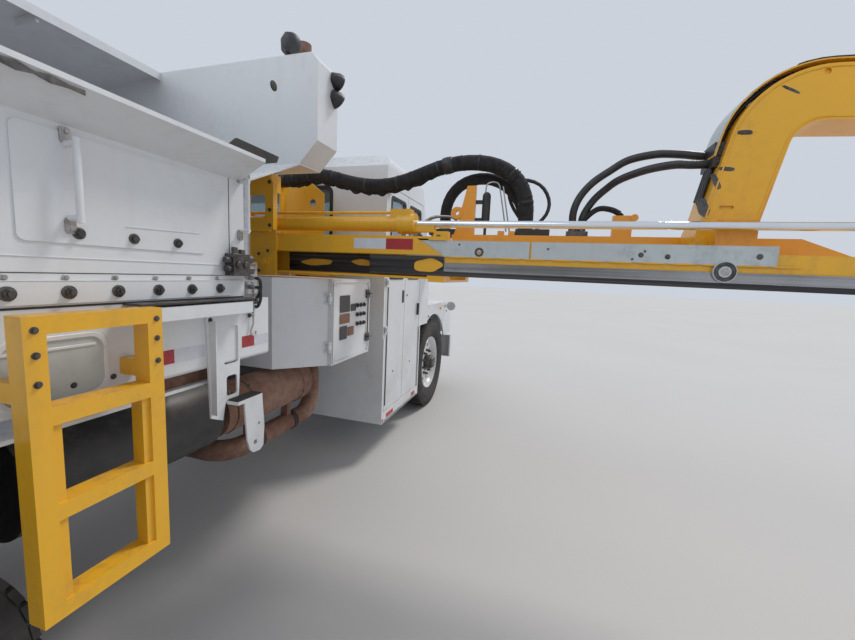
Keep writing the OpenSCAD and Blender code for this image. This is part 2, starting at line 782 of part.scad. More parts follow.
module cab_side_outline(inset) {
    polygon([
        [cab_rear + inset, cab_floor + inset], [cab_rear + inset, cab_top - 110 - inset],
        [cab_rear + 120, cab_top - inset], [-800, cab_top - inset],
        [-640 - inset, cab_top - 80 - inset], [cowl_x - inset, 1620], [cowl_x - inset, cab_floor + inset]]);
}
// Section across the cab, with its rounded roof edges
module cab_section(inset) {
    y = half_w - 10 - inset;
    z = cab_top - inset;
    r = 120 - inset;
    along(cab_rear - 1, cowl_x + 1) polygon(concat(
        [[-y, cab_floor - 1], [y, cab_floor - 1]],
        arc([y - r, z - r], r, 0, 90, 8), arc([-y + r, z - r], r, 90, 180, 8)));
}
module cab_shell() {
    y = half_w - 10;
    color("white") at_origin() {
        door_pin(entry_pin_x, entry_pin_y, -30, hinge_levels);
        mirror([0, 1, 0]) door_pin(door_pin_x, entry_pin_y, 30, door_hinge_levels);
        both_sides() block(cowl_x, cowl_x + 10 - pad_gap, 500, 560, 1560, 1588);
        difference() {
        intersection() {
            across(-y - 1, y + 1) cab_side_outline(0);
            cab_section(0);
        }
        intersection() {
            across(-y, y) cab_side_outline(panel);
            cab_section(panel);
        }
        across(y - panel - 1, y + 1) left_door_outline(0);
        block(cab_rear + 40, entry_front - 30, -y - 1, -y + panel + 1, 1049, 2300);
        block(cab_rear - 1, cab_rear + panel + 1, -700, 700, 1750, 2280);
        windscreen(200, 0);
        block(cab_rear + panel, entry_front - panel, -y + panel, -rail_y - panel - 10, cab_floor - 1,
            cab_floor + panel + 1);
        }
    }
}
// The windscreen's slab, that much smaller all round than its opening
module windscreen(t, less) {
    translate([-485, 0, 2060]) rotate([0, -screen_lean, 0])
        cube([t, 2 * half_w - 300 - 2 * less, 640 - 2 * less], center = true);
}
module entry_box() {
    y = half_w;
    color("white") at_origin() difference() {
        block(cab_rear, entry_front, -y, -rail_y - 10, entry_z, cab_floor);
        block(cab_rear + panel, entry_front - panel, -y + panel, -rail_y - 10 - panel,
            entry_z + panel, cab_floor + 1);
        block(cab_rear + 40, entry_front - 30, -y - 1, -y + panel + 1, entry_z + 95, cab_floor + 1);
    }
}
module cab_glass() {
    less = pad_gap;
    color("lightblue", 0.5) at_origin() {
        block(cab_rear + 8, cab_rear + 14, -700 + less, 700 - less, 1750 + less, 2280 - less);
        windscreen(6, less);
    }
}
module cab_interior() {
    color("dimgray") at_origin() {
        block(-1400, -950, 250, 750, cab_floor + panel, 1600);
        block(-560, -330, -half_w + 220, half_w - 120, 1200, 1560);
        block(-360, -330, -200, 200, cab_floor + panel, 1200);
    }
}
// Hood and fenders in one tilting shell, with the wheel arches cut through its sides
module hood_outline(inset) {
    polygon([
        [cowl_x + 10 - 2 * inset, 900], [cowl_x + 10 - 2 * inset, 1590 - inset], [500, 1480 - inset],
        [880 - inset, 1340 - inset], [920 - inset, hood_bottom - 2 * inset],
        [500, hood_bottom - 2 * inset], [500, 900]]);
}
module fender_outline(inset) {
    polygon([
        [cowl_x + 10, 1000], [cowl_x + 10, 1180 - inset], [-200, 1250 - inset],
        [560, 1250 - inset], [860 - inset, 1120 - inset], [920 - inset, hood_bottom - 2 * inset],
        [560, hood_bottom - 2 * inset]]);
}
module hood() {
    pin_y = rail_y + 6;
    color("white") at_origin() {
        difference() {
            union() {
                across(-900, 900) hood_outline(0);
                across(-half_w + 20, half_w - 20) fender_outline(0);
            }
            across(-900 + 20, 900 - 20) hood_outline(20);
            both_sides() across(700, half_w - 40) fender_outline(20);
            block(-640, 560, -900, 900, 700, 1230);
            rod_y(arch_r, -half_w, half_w, 0, tyre_r);
            for (z = [860:60:1280]) block(820, 950, -grille_y, grille_y, z, z + 34);
        }
        both_sides() difference() {
            rod_x(92, 884, 926, lamp_y, lamp_z);
            rod_x(78, 906, 927, lamp_y, lamp_z);
        }
        both_sides() difference() {
            union() {
                block(hood_pin_x - 15, hood_pin_x + 15, pin_y, pin_y + 30, hood_pin_z, 830);
                rod_y(18, pin_y, pin_y + 30, hood_pin_x, hood_pin_z);
            }
            rod_y(hood_pin_r + pin_fit, pin_y - 1, pin_y + 31, hood_pin_x, hood_pin_z);
        }
    }
}
// Outline of the left door's opening: its front edge leans with the pillar above the belt
module left_door_outline(inset) {
    polygon([
        [-1350 + inset, 1080 + inset], [-420 - inset, 1080 + inset], [-420 - inset, belt_z + 50],
        [-690 - inset, 2300 - inset], [-1350 + inset, 2300 - inset]]);
}
module left_door() {
    y = half_w - 10;
    color("white") at_origin() {
        difference() {
            across(y - panel, y) left_door_outline(6);
            across(y - panel - 1, y + 1) polygon([
                [-1250, belt_z], [-530, belt_z], [-530, belt_z + 60], [-745, 2200],
                [-1250, 2200]]);
        }
        for (z = door_hinge_levels) barrel(door_pin_x, -entry_pin_y, z) union() {
            rod_z(hinge_r + 6, z - 14, z + 14, door_pin_x, -entry_pin_y);
            block(-470, door_pin_x, y - 1, -entry_pin_y + 5, z - 14, z + 14);
        }
    }
}
module entry_leaf(x0, x1) {
    y = -half_w + 10;
    difference() {
        block(x0, x1, y, y + panel - 2, entry_z + 100, 2294);
        block(x0 + 60, x1 - 60, y - 1, y + panel, 1560, 2220);
    }
}
// Hinge barrel on a leaf, round the pin at x and y, and the pin with its two ears
module barrel(x, y, z) {
    difference() {
        children();
        rod_z(hinge_r + pin_fit, z - 40, z + 40, x, y);
    }
}
module entry_leaf_rear() {
    color("white") at_origin() {
        entry_leaf(cab_rear + 46, leaf_mid - 4);
        for (z = hinge_levels) {
            barrel(entry_pin_x, entry_pin_y, z) union() {
                rod_z(hinge_r + 6, z - 14, z + 14, entry_pin_x, entry_pin_y);
                block(entry_pin_x, cab_rear + 70, entry_pin_y - 5, -half_w + 11, z - 14, z + 14);
            }
            rod_z(hinge_r, z - 34, z + 34, leaf_mid, fold_pin_y);
            for (e = [z - 34, z + 20])
                block(leaf_mid - 25, leaf_mid, fold_pin_y - 15, fold_pin_y + 6, e, e + 14);
        }
    }
}
module entry_leaf_front() {
    color("white") at_origin() {
        entry_leaf(leaf_mid + 4, entry_front - 42);
        for (z = hinge_levels) barrel(leaf_mid, fold_pin_y, z) union() {
            rod_z(hinge_r + 5, z - 14, z + 14, leaf_mid, fold_pin_y);
            block(leaf_mid, leaf_mid + 25, fold_pin_y - 15, fold_pin_y + 5, z - 14, z + 14);
        }
    }
}
// Pin and ears that a door hangs on, on the outside of a panel
module door_pin(x, y, reach, levels) {
    for (z = levels) {
        rod_z(hinge_r, z - 34, z + 34, x, y);
        for (e = [z - 34, z + 20])
            block(min(x, x + reach), max(x, x + reach), y - hinge_r, -half_w + 10, e, e + 14);
    }
}
module mirrors() {
    color("black") at_origin() both_sides() {
        block(-380, -340, half_w - 10, mirror_out - 20, 1640, 1665);
        block(-390, -330, mirror_out - 200, mirror_out, 1665, 2100);
    }
}

// Arm

// One side of the fixed frame, open toward the middle of the boom, with the pads that the
// first stage runs on
module frame_side(lip) {
    x = boom_x - slide_gap - plate;
    z0 = boom_z - slide_gap - plate;
    z1 = boom_top + slide_gap;
    block(x, x + plate, frame_out, frame_in, z0, z1 + plate);
    block(x + plate, x + plate + lip, frame_out, frame_in, z1, z1 + plate);
    block(x + plate, boom_x + stage1_w, frame_out, frame_in, z0, z0 + plate);
    for (y = [frame_out, stage1_in - 120]) {
        block(boom_x, boom_x + stage1_w, y, y + 100, z0 + plate, boom_z - pad_gap);
        block(boom_x, x + plate + lip, y, y + 100, boom_top + pad_gap, z1);
        block(x + plate, boom_x - pad_gap, y, y + 100, boom_top - 90, boom_top - 10);
    }
}
module mirrored_boom() {
    translate([2 * boom_mid_x, 0, 0]) mirror([1, 0, 0]) children();
}
module arm_frame_rear() {
    color("gold") at_origin() {
        frame_side(33);
        along(boom_x - 45, boom_x - 30) difference() {
            polygon([
                [-900, boom_top + 20], [-600, boom_top + 20], [-600, shield_z - sheet - pad_gap],
                [-860, shield_z - sheet - pad_gap], [-900, 2090]]);
            polygon(rounded(-843, -727, 1895, 2030, 20));
        }
        for (y = [-900, -612])
            block(boom_x - 45, boom_x - 8, y, y + 12, boom_top + 20, 2080);
        block(boom_x - 45, boom_x + 20, -870, -600, boom_top + 8, boom_top + 20);
        block(boom_x - 31, boom_x + 50, -880, -690, 2050, 2150);
        block(boom_x - 30, boom_x - 20, frame_out, frame_out + 146, boom_z - 18, boom_z + 130);
        rod_x(30, boom_x - 38, boom_x - 29, frame_out + 73, boom_z + 56);
        rod_x(18, boom_x - 50, boom_x - 37, frame_out + 73, boom_z + 56);
        block(boom_x - 20, boom_front_x + 20, frame_in - 60, frame_in, boom_z - 80, boom_z - 20);
        for (y = [-rail_y, rail_y - 85])
            block(boom_x - 20, boom_x + 60, y, y + 85, rail_top, boom_z - 20);
    }
}
module arm_frame_front() {
    color("gold") at_origin() {
        mirrored_boom() frame_side(60);
        along(boom_front_x + 48, boom_front_x + 60) difference() {
            polygon([
                [-740, boom_top + 8], [-340, boom_top + 8], [-340, 2330], [-560, 2330],
                [-740, 2200]]);
            translate([-640, 2130]) circle(r = 28);
        }
        block(boom_front_x + 8, boom_front_x + 60, -740, -340, boom_top + 8, boom_top + 20);
        for (y = [-rail_y, rail_y - 85])
            block(boom_front_x - 60, boom_front_x + 20, y, y + 85, rail_top, boom_z - 20);
    }
}

// Section of a first-stage rail, open toward the outside below its lip
module stage1_rail() {
    x0 = boom_x;
    x1 = boom_x + stage1_w;
    pad_out = stage1_out + 100;
    inner = x1 - plate - slide_gap;
    block(x0 + plate, x1 - plate, stage1_out, pad_out, boom_z + plate, stage2_z - pad_gap);
    block(x0 + plate, x1 - plate, stage1_out, pad_out, stage2_top + pad_gap, boom_top - plate);
    block(inner + pad_gap, x1 - plate, stage1_out, pad_out, stage2_z, stage2_top);
    block(x0 + plate, x0 + plate + slide_gap - pad_gap, pad_out, pad_out + 100,
        boom_top - 95, boom_top - 45);
    difference() {
        across(stage1_out, stage1_in) polygon([
            [x0, boom_z], [x1, boom_z], [x1, boom_top], [x0, boom_top], [x0, boom_top - 100],
            [x0 + plate, boom_top - 100], [x0 + plate, boom_top - plate],
            [x1 - plate, boom_top - plate], [x1 - plate, boom_z + plate],
            [x0, boom_z + plate]]);
        along(x0 - 1, x0 + plate + 1) polygon([
            [stage1_out - 1, boom_top - 101], [stage1_out - 1, boom_top + 1],
            [stage1_out + 185, boom_top + 1], [stage1_out + 12, boom_top - 101]]);
    }
}
module boom_rear_rail() {
    color("gold") at_origin() stage1_rail();
}
module boom_front_rail() {
    x0 = boom_x + stage1_w;
    x1 = boom_front_x - stage1_w;
    color("gold") at_origin() {
        mirrored_boom() stage1_rail();
        block(x0, x1 + 1, stage1_in - 100, stage1_in, boom_z + 20, boom_top - 20);
        block(boom_x, boom_front_x, stage1_out, stage1_out + 90, boom_z - 14, boom_z);
        block(x1 + 2, x1 + 62, stage1_in - 24, stage1_in - 4, boom_top - 1, 2320);
    }
}
module slide_cylinder() {
    x = boom_x + stage1_w / 2;
    color("gold") at_origin() difference() {
        union() {
            rod_y(barrel_r, gland_y + 100, barrel_in, x, slide_cyl_z);
            rod_y(barrel_r + 12, gland_y, gland_y + 100, x, slide_cyl_z);
            block(x - 30, x + 30, gland_y + 25, gland_y + 145, slide_cyl_z + 20, slide_cyl_z + 78);
            block(x - 14, x + 14, stage1_in - 110, stage1_in - 70, slide_cyl_z + 38,
                slide_cyl_z + 76);
            rod_y(9, gland_y + 140, stage1_in - 108, x, slide_cyl_z + 62);
            block(x - 25, x + 25, stage1_in - 60, stage1_in, boom_top, slide_cyl_z);
            block(x - 25, x + 25, stage1_out, -1870, boom_top, boom_top + 30);
            block(x - 25, x + 25, -1870, -1700, boom_top + 27, boom_top + 60);
        }
        rod_y(slide_rod_r + pad_gap, gland_y - 140, barrel_in - 20, x, slide_cyl_z);
    }
}
module stage_rail() {
    x0 = boom_x + plate + slide_gap + cover_t;
    x1 = boom_x + stage1_w - plate - slide_gap;
    block(x0, x1, stage2_step, stage2_in, stage2_z, stage2_top);
    block(x0, x1, stage2_out, stage2_step, stage2_z + 35, stage2_top - 35);
    rod_x(20, x0 - cover_t + 1, x0 + 1, roller_y, roller_z);
}
module stage_rails() {
    color("gold") at_origin() {
        stage_rail();
        mirrored_boom() stage_rail();
    }
}
module cover_plates() {
    x = boom_x + plate + slide_gap;
    color("white") at_origin() {
        difference() {
            block(x, x + cover_t, -2380, stage1_out + 220, stage2_top - 85, stage2_top);
            rod_x(24, x - 1, x + cover_t + 1, roller_y, roller_z);
        }
        block(x, x + cover_t, stage2_step, -2390, stage2_top - 85, stage2_top);
        rod_x(46, x - 14, x + 1, -3220, 1670);
    }
}
module carriage_beam() {
    x1 = boom_x + stage1_w - plate - slide_gap;
    far = 2 * boom_mid_x - x1;
    color("orange") at_origin() difference() {
        union() {
            block(beam_x, beam_x + beam_w, beam_out, beam_in, 1700, beam_top);
            block(beam_x - 320, beam_x, beam_in - 100, beam_in, lift_cyl_z - 35, lift_cyl_z + 35);
            along(beam_x, beam_x + 30) polygon([
                [-2010, beam_top - 1], [-2010, 2167], [-1955, 2167], [-1925, 2035], [-1895, 2035],
                [-1895, 1965], [-1915, 1965], [-1880, beam_top - 1]]);
            rod_x(38, beam_x - 4, beam_x + 34, -1895, 2000);
            for (y = [-2264, -2198]) block(beam_x + 2, beam_x + 42, y, y + 38, beam_top - 1, 1890);
            block(beam_x + 12, beam_x + 62, -2917, -2815, beam_top - 1, 1985);
            rod_x(20, beam_x + 8, beam_x + 66, -2925, 1972);
            block(x1, beam_x, stage2_out + 60, stage2_out + 160, stage2_z + 35, stage2_top - 35);
            block(beam_x + beam_w, far, stage2_out + 60, stage2_out + 160, stage2_z + 35, stage2_top - 35);
            block(x1, x1 + 12, lift_y - 80, lift_y + 80, stage2_top - 100, lift_z + 60);
            rod_x(lift_pin_r, x1, beam_x, lift_y, lift_z);
            rod_x(46, beam_x, beam_x + beam_w, lift_y, lift_z);
            rod_y(lift_cyl_r, -2950, beam_in - 100, lift_cyl_x, lift_cyl_z);
        }
        rod_y(lift_rod_r + pad_gap, -2951, beam_in - 200, lift_cyl_x, lift_cyl_z);
        rod_x(14, beam_x - 5, beam_x + 35, -1895, 2000);
        along(beam_x - 1, beam_x + beam_w + 1) polygon([
            [beam_out - 1, beam_top + 1], [beam_out + 270, beam_top + 1], [beam_out - 1, 1760]]);
    }
}
// Hose manifolds on the carriage, and the pressure vessel with its clamps and line
module carriage_fittings() {
    x = beam_x + 32;
    y = -2075;
    z0 = beam_top + pad_gap;
    color("black") at_origin() {
        rod_z(26, 1930, 2110, x, y);
        translate([x, y, 2108]) sphere(r = 25);
        rod_z(9, z0, 1932, x, y);
        for (z = [1950, 2060]) block(x - 12, x + 12, y, -2010 - pad_gap, z, z + 22);
        block(beam_x + 20, loop_x + loop_r, -2470, -2266, z0, manifold_top);
        block(beam_x + 45, arch_x + 50, -1960, -1700, z0, manifold_top);
    }
}

// Hoses: tubes through the points of their routes
function ring(p, i, r) = let (
    a = p[max(i - 1, 0)],
    b = p[min(i + 1, len(p) - 1)],
    t = (b - a) / norm(b - a),
    u = cross(t, [1, 0, 0]) / norm(cross(t, [1, 0, 0])),
    v = cross(t, u)
) [for (k = [0:hose_sides - 1]) p[i] + r * (cos(360 * k / hose_sides) * u
    + sin(360 * k / hose_sides) * v)];
module hose(p, r) {
    n = hose_sides;
    last = (len(p) - 1) * n;
    polyhedron(
        points = [for (i = [0:len(p) - 1]) each ring(p, i, r)],
        faces = concat(
            [[for (k = [0:n - 1]) k]],
            [for (i = [0:len(p) - 2]) for (k = [0:n - 1]) let (m = (k + 1) % n)
                each [[i * n + k, (i + 1) * n + k, i * n + m],
                    [i * n + m, (i + 1) * n + k, (i + 1) * n + m]]],
            [[for (k = [n - 1:-1:0]) last + k]]));
}
function in_plane(x, yz) = [for (q = yz) [x, q[0], q[1]]];
module hose_bundle() {
    color("black") at_origin() hose(in_plane(bundle_x, bundle_route), bundle_r);
}
module hose_arch() {
    color("black") at_origin() hose(in_plane(arch_x, arch_route), arch_hose_r);
}
module hose_loop() {
    color("black") at_origin() hose(in_plane(loop_x, loop_route), loop_r);
}

// Rod of the slide cylinder, and the polished strips low on both second-stage rails
module slide_rod() {
    x = boom_x + stage1_w / 2;
    strip_x = boom_x + plate + slide_gap + cover_t - pad_gap;
    strip_z = stage2_z + 2;
    color("silver") at_origin() {
        for (side = [0, 1]) translate([side * 2 * boom_mid_x, 0, 0]) mirror([side, 0, 0])
            block(strip_x - 6, strip_x, stage2_step + 30, stage2_in - 60, strip_z, strip_z + 24);
        rod_y(slide_rod_r, stage2_out + 20, gland_y + 130, x, slide_cyl_z);
        block(x - 20, x + 20, stage2_out + 5, stage2_out + 75, stage2_top - 35, slide_cyl_z + 30);
    }
}
module lift_rod() {
    color("silver") at_origin() {
        rod_y(lift_rod_r, eye_y + 20, -2150, lift_cyl_x, lift_cyl_z);
        rod_x(40, lift_cyl_x - 26, lift_cyl_x + 26, eye_y, lift_cyl_z);
    }
}

// The lift arm is drawn flat: away from the truck along x, up along y
module neck_frame() {
    translate([neck_x + neck_w, lift_y, lift_z]) rotate([90, 0, -90]) children();
}
function heading(p, q) = atan2(q[1] - p[1], q[0] - p[0]);
function aside(p, a, d) = p + d * [-sin(a), cos(a)];
// Points at the distance d to the left of a right-hand bend of radius r
function bend_points(p, corner, q, r, d) = let (
    a = heading(p, corner),
    b = heading(corner, q),
    centre = aside(corner - r * tan((a - b) / 2) * [cos(a), sin(a)], a, -r)
) [for (i = [0:bend_steps]) aside(centre, a + (b - a) * i / bend_steps, r + d)];
function neck_side(d) = concat(
    [aside([0, 0], heading([0, 0], neck_knee), d)],
    bend_points([0, 0], neck_knee, neck_shoulder, knee_r, d),
    bend_points(neck_knee, neck_shoulder, neck_end, shoulder_r, d),
    [aside(neck_end, heading(neck_shoulder, neck_end), d) - [0, 40]]);
// Sheet that stands off the side toward the truck, from half-way up to past the knee
function guard_side(d) = concat(
    [aside(0.55 * neck_knee, heading([0, 0], neck_knee), d)],
    bend_points([0, 0], neck_knee, neck_shoulder, knee_r, d),
    [aside((neck_knee + neck_shoulder) / 2, heading(neck_knee, neck_shoulder), d)]);
function reversed(list) = [for (i = [len(list) - 1:-1:0]) list[i]];
module lift_arm() {
    crank_pin = crank_r * [cos(crank_start), sin(crank_start)];
    color("gold") at_origin() difference() {
        union() {
            neck_frame() {
                linear_extrude(neck_w)
                    polygon(concat(neck_side(neck_h / 2), reversed(neck_side(-neck_h / 2))));
                cylinder(r = neck_h / 2 + 6, h = neck_w);
                translate([0, 0, 24]) linear_extrude(neck_w - 48) polygon(concat(
                    guard_side(neck_h / 2 + 34), reversed(guard_side(neck_h / 2 + 28))));
                for (p = [[0.6 * neck_knee, neck_knee], [0.55 * neck_knee + 0.45 * neck_shoulder,
                    neck_shoulder - neck_knee]])
                    translate([p[0][0], p[0][1], 60]) rotate(heading([0, 0], p[1]))
                        translate([-12, neck_h / 2 - 4, 0]) cube([24, 34, neck_w - 120]);
                translate([0, 0, neck_w - 1]) {
                    rotate(crank_start) translate([0, -45, 0]) cube([crank_r, 90, 17]);
                    cylinder(r = 80, h = 21);
                    translate(crank_pin) cylinder(r = 50, h = 21);
                }
            }
            block(grip_x - 450, neck_x + neck_w, grip_y - grip_beam / 2, grip_y + grip_beam / 2,
                grip_z - grip_beam, grip_z);
            for (side = [-1, 1]) finger_lugs(grip_x + side * finger_gap / 2);
        }
        neck_frame() translate([0, 0, -1]) cylinder(r = lift_pin_r + pin_fit, h = neck_w + 30);
        neck_frame() translate([0, 0, neck_w - 10]) {
            linear_extrude(12) polygon(rounded(-38, 22, 124, 142, 8));
            translate([304, 716, 0]) cylinder(r = 13, h = 12);
        }
    }
}
module finger_lugs(x) {
    z = grip_z - grip_beam / 2;
    for (side = [-1, 1]) {
        zl = z + side * (finger_h / 2 + 8) - 8;
        block(x - 45, x + 45, finger_pin_y, grip_y - grip_beam / 2, zl, zl + 16);
        rod_z(45, zl, zl + 16, x, finger_pin_y);
    }
    rod_z(finger_pin_r, z - finger_h / 2, z + finger_h / 2, x, finger_pin_y);
}

// A finger, drawn for the pin ahead of the cart, turned open
function finger_arc(r) = [for (i = [0:finger_steps])
    let (a = finger_tip_angle + finger_sweep * i / finger_steps)
    finger_centre + r * [cos(a), sin(a)]];
module finger() {
    difference() {
        union() {
            cylinder(r = finger_hub_r, h = finger_h);
            linear_extrude(finger_h) polygon(concat(
                finger_arc(finger_r + finger_t / 2), reversed(finger_arc(finger_r - finger_t / 2))));
            translate([finger_tip[0], finger_tip[1], 0]) cylinder(r = finger_tip_r, h = finger_h);
        }
        translate([0, 0, -1]) cylinder(r = finger_pin_r + pin_fit, h = finger_h + 2);
    }
}
module finger_front() {
    color("black") at_origin()
        translate([grip_x + finger_gap / 2, finger_pin_y, grip_z - grip_beam / 2 - finger_h / 2])
            rotate(finger_open) finger();
}
module finger_rear() {
    color("black") at_origin()
        translate([grip_x - finger_gap / 2, finger_pin_y, grip_z - grip_beam / 2 - finger_h / 2])
            mirror([1, 0, 0]) rotate(finger_open) finger();
}

chassis_frame();
cross_members();
front_bumper();
engine_block();
front_axle();
rear_axles();
cab_shell();
entry_box();
cab_glass();
cab_interior();
hopper_side();
hopper_left_wall();
hopper_front();
refuse_body();
side_skirt();
access_ladder();
step_column();
control_cabinet();
arm_frame_rear();
arm_frame_front();
rubber_flap();
air_canister();
exhaust_drums();
exhaust_stack();
fuel_tank();
mirrors();
rear_bumper();
valve_block();
fender_mirror();
hood();
left_door();
entry_leaf_rear();
entry_leaf_front();
cabinet_door();
tailgate();
packer();
boom_rear_rail();
boom_front_rail();
slide_cylinder();
stage_rails();
cover_plates();
carriage_beam();
slide_rod();
carriage_fittings();
hose_bundle();
hose_arch();
hose_loop();
lift_rod();
lift_arm();
finger_front();
finger_rear();
knuckle_left();
knuckle_right();
front_wheel_left();
front_wheel_right();
mid_wheels_left();
mid_wheels_right();
rear_wheels_left();
rear_wheels_right();
tow_eyes();
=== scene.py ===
"""Looks of the side-loading refuse truck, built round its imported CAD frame."""
import math
import random

import bmesh
import bpy
from mathutils import Matrix, Vector


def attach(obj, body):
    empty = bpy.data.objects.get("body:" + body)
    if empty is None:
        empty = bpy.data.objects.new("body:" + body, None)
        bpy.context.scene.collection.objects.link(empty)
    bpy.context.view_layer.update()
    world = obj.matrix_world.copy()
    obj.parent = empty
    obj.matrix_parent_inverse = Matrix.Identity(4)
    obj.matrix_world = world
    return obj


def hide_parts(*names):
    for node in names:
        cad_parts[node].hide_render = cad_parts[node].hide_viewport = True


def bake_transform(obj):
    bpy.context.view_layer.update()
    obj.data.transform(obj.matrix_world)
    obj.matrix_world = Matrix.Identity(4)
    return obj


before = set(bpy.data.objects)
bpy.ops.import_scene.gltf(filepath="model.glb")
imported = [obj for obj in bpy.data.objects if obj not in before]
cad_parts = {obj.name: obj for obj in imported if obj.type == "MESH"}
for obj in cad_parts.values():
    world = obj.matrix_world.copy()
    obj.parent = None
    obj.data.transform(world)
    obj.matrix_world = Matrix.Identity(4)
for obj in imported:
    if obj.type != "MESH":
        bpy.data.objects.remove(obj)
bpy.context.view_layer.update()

# Truck axes in metres: x forward from the front axle, y to the left of the middle, z up
SHIFT = Vector((3.565, 1.89163, 0.0))

# Directions of the truck, for what faces one way
AHEAD, BACK = (1, 0, 0), (-1, 0, 0)
LEFT, RIGHT = (0, 1, 0), (0, -1, 0)
UP, DOWN = (0, 0, 1), (0, 0, -1)


def truck(x, y, z):
    return Vector((x, y, z)) + SHIFT


# Camera, as the photograph's vanishing points give it
CAM_PLACE = truck(-4.48, -2.47, 1.6)
CAM_YAW = math.radians(16.73)
CAM_PITCH = math.radians(-6.74)
CAM_ROLL = math.radians(-2.588)
CAM_FOCAL_PX = 383.81
IMAGE_W = 855
SENSOR = 36.0


def add_camera():
    forward = Vector((math.cos(CAM_YAW) * math.cos(CAM_PITCH),
                      math.sin(CAM_YAW) * math.cos(CAM_PITCH), math.sin(CAM_PITCH)))
    level = Vector((math.sin(CAM_YAW), -math.cos(CAM_YAW), 0.0))
    down = forward.cross(level)
    right = math.cos(CAM_ROLL) * level + math.sin(CAM_ROLL) * down
    below = -math.sin(CAM_ROLL) * level + math.cos(CAM_ROLL) * down
    data = bpy.data.cameras.new("photo_camera")
    data.sensor_width = SENSOR
    data.lens = CAM_FOCAL_PX * SENSOR / IMAGE_W
    data.clip_start = 0.05
    data.clip_end = 400
    camera = bpy.data.objects.new("photo_camera", data)
    bpy.context.scene.collection.objects.link(camera)
    rotation = Matrix((right, -below, -forward)).transposed()
    camera.matrix_world = Matrix.Translation(CAM_PLACE) @ rotation.to_4x4()
    bpy.context.scene.camera = camera


add_camera()


# Materials

class Nodes:
    """Short names for the nodes of one material."""

    def __init__(self, name):
        self.mat = bpy.data.materials.new(name)
        self.mat.use_nodes = True
        self.tree = self.mat.node_tree
        self.shader = self.tree.nodes["Principled BSDF"]
        self.place = self.add("ShaderNodeTexCoord").outputs["Object"]

    def add(self, kind, **inputs):
        node = self.tree.nodes.new(kind)
        for key, value in inputs.items():
            if key in node.inputs:
                node.inputs[key].default_value = value
            else:
                setattr(node, key, value)
        return node

    def link(self, a, b):
        self.tree.links.new(a, b)

    def noise(self, scale, detail=5.0, rough=0.6, stretch=(1, 1, 1), seed=0.0):
        move = self.add("ShaderNodeMapping")
        move.inputs["Scale"].default_value = stretch
        move.inputs["Location"].default_value = (seed, seed * 1.7, seed * 0.3)
        self.link(self.place, move.inputs["Vector"])
        node = self.add("ShaderNodeTexNoise", Scale=scale, Detail=detail, Roughness=rough)
        self.link(move.outputs["Vector"], node.inputs["Vector"])
        return node.outputs["Fac"]

    def ramp(self, value, low, high, start=0.0, end=1.0):
        node = self.add("ShaderNodeMapRange")
        node.interpolation_type = "SMOOTHSTEP"
        self.link(value, node.inputs["Value"])
        for key, number in (("From Min", low), ("From Max", high), ("To Min", start), ("To Max", end)):
            node.inputs[key].default_value = number
        return node.outputs["Result"]

    def math(self, kind, a, b):
        node = self.add("ShaderNodeMath", operation=kind)
        for socket, value in zip(node.inputs, (a, b)):
            if isinstance(value, (int, float)):
                socket.default_value = value
            else:
                self.link(value, socket)
        return node.outputs[0]

    def mix(self, share, a, b):
        node = self.add("ShaderNodeMix", data_type="RGBA")
        self.link(share, node.inputs[0])
        for socket, value in ((node.inputs[6], a), (node.inputs[7], b)):
            if isinstance(value, tuple):
                socket.default_value = (*value, 1.0)
            else:
                self.link(value, socket)
        return node.outputs[2]

    def bump(self, height, strength, distance):
        node = self.add("ShaderNodeBump", Strength=strength, Distance=distance)
        self.link(height, node.inputs["Height"])
        self.link(node.outputs["Normal"], self.shader.inputs["Normal"])

    def upward(self):
        """1 where a face looks up, 0 where it stands or looks down."""
        split = self.add("ShaderNodeSeparateXYZ")
        self.link(self.add("ShaderNodeNewGeometry").outputs["Normal"], split.inputs[0])
        return self.ramp(split.outputs["Z"], 0.3, 0.95)

    def height(self):
        split = self.add("ShaderNodeSeparateXYZ")
        self.link(self.place, split.inputs[0])
        return split.outputs["Z"]


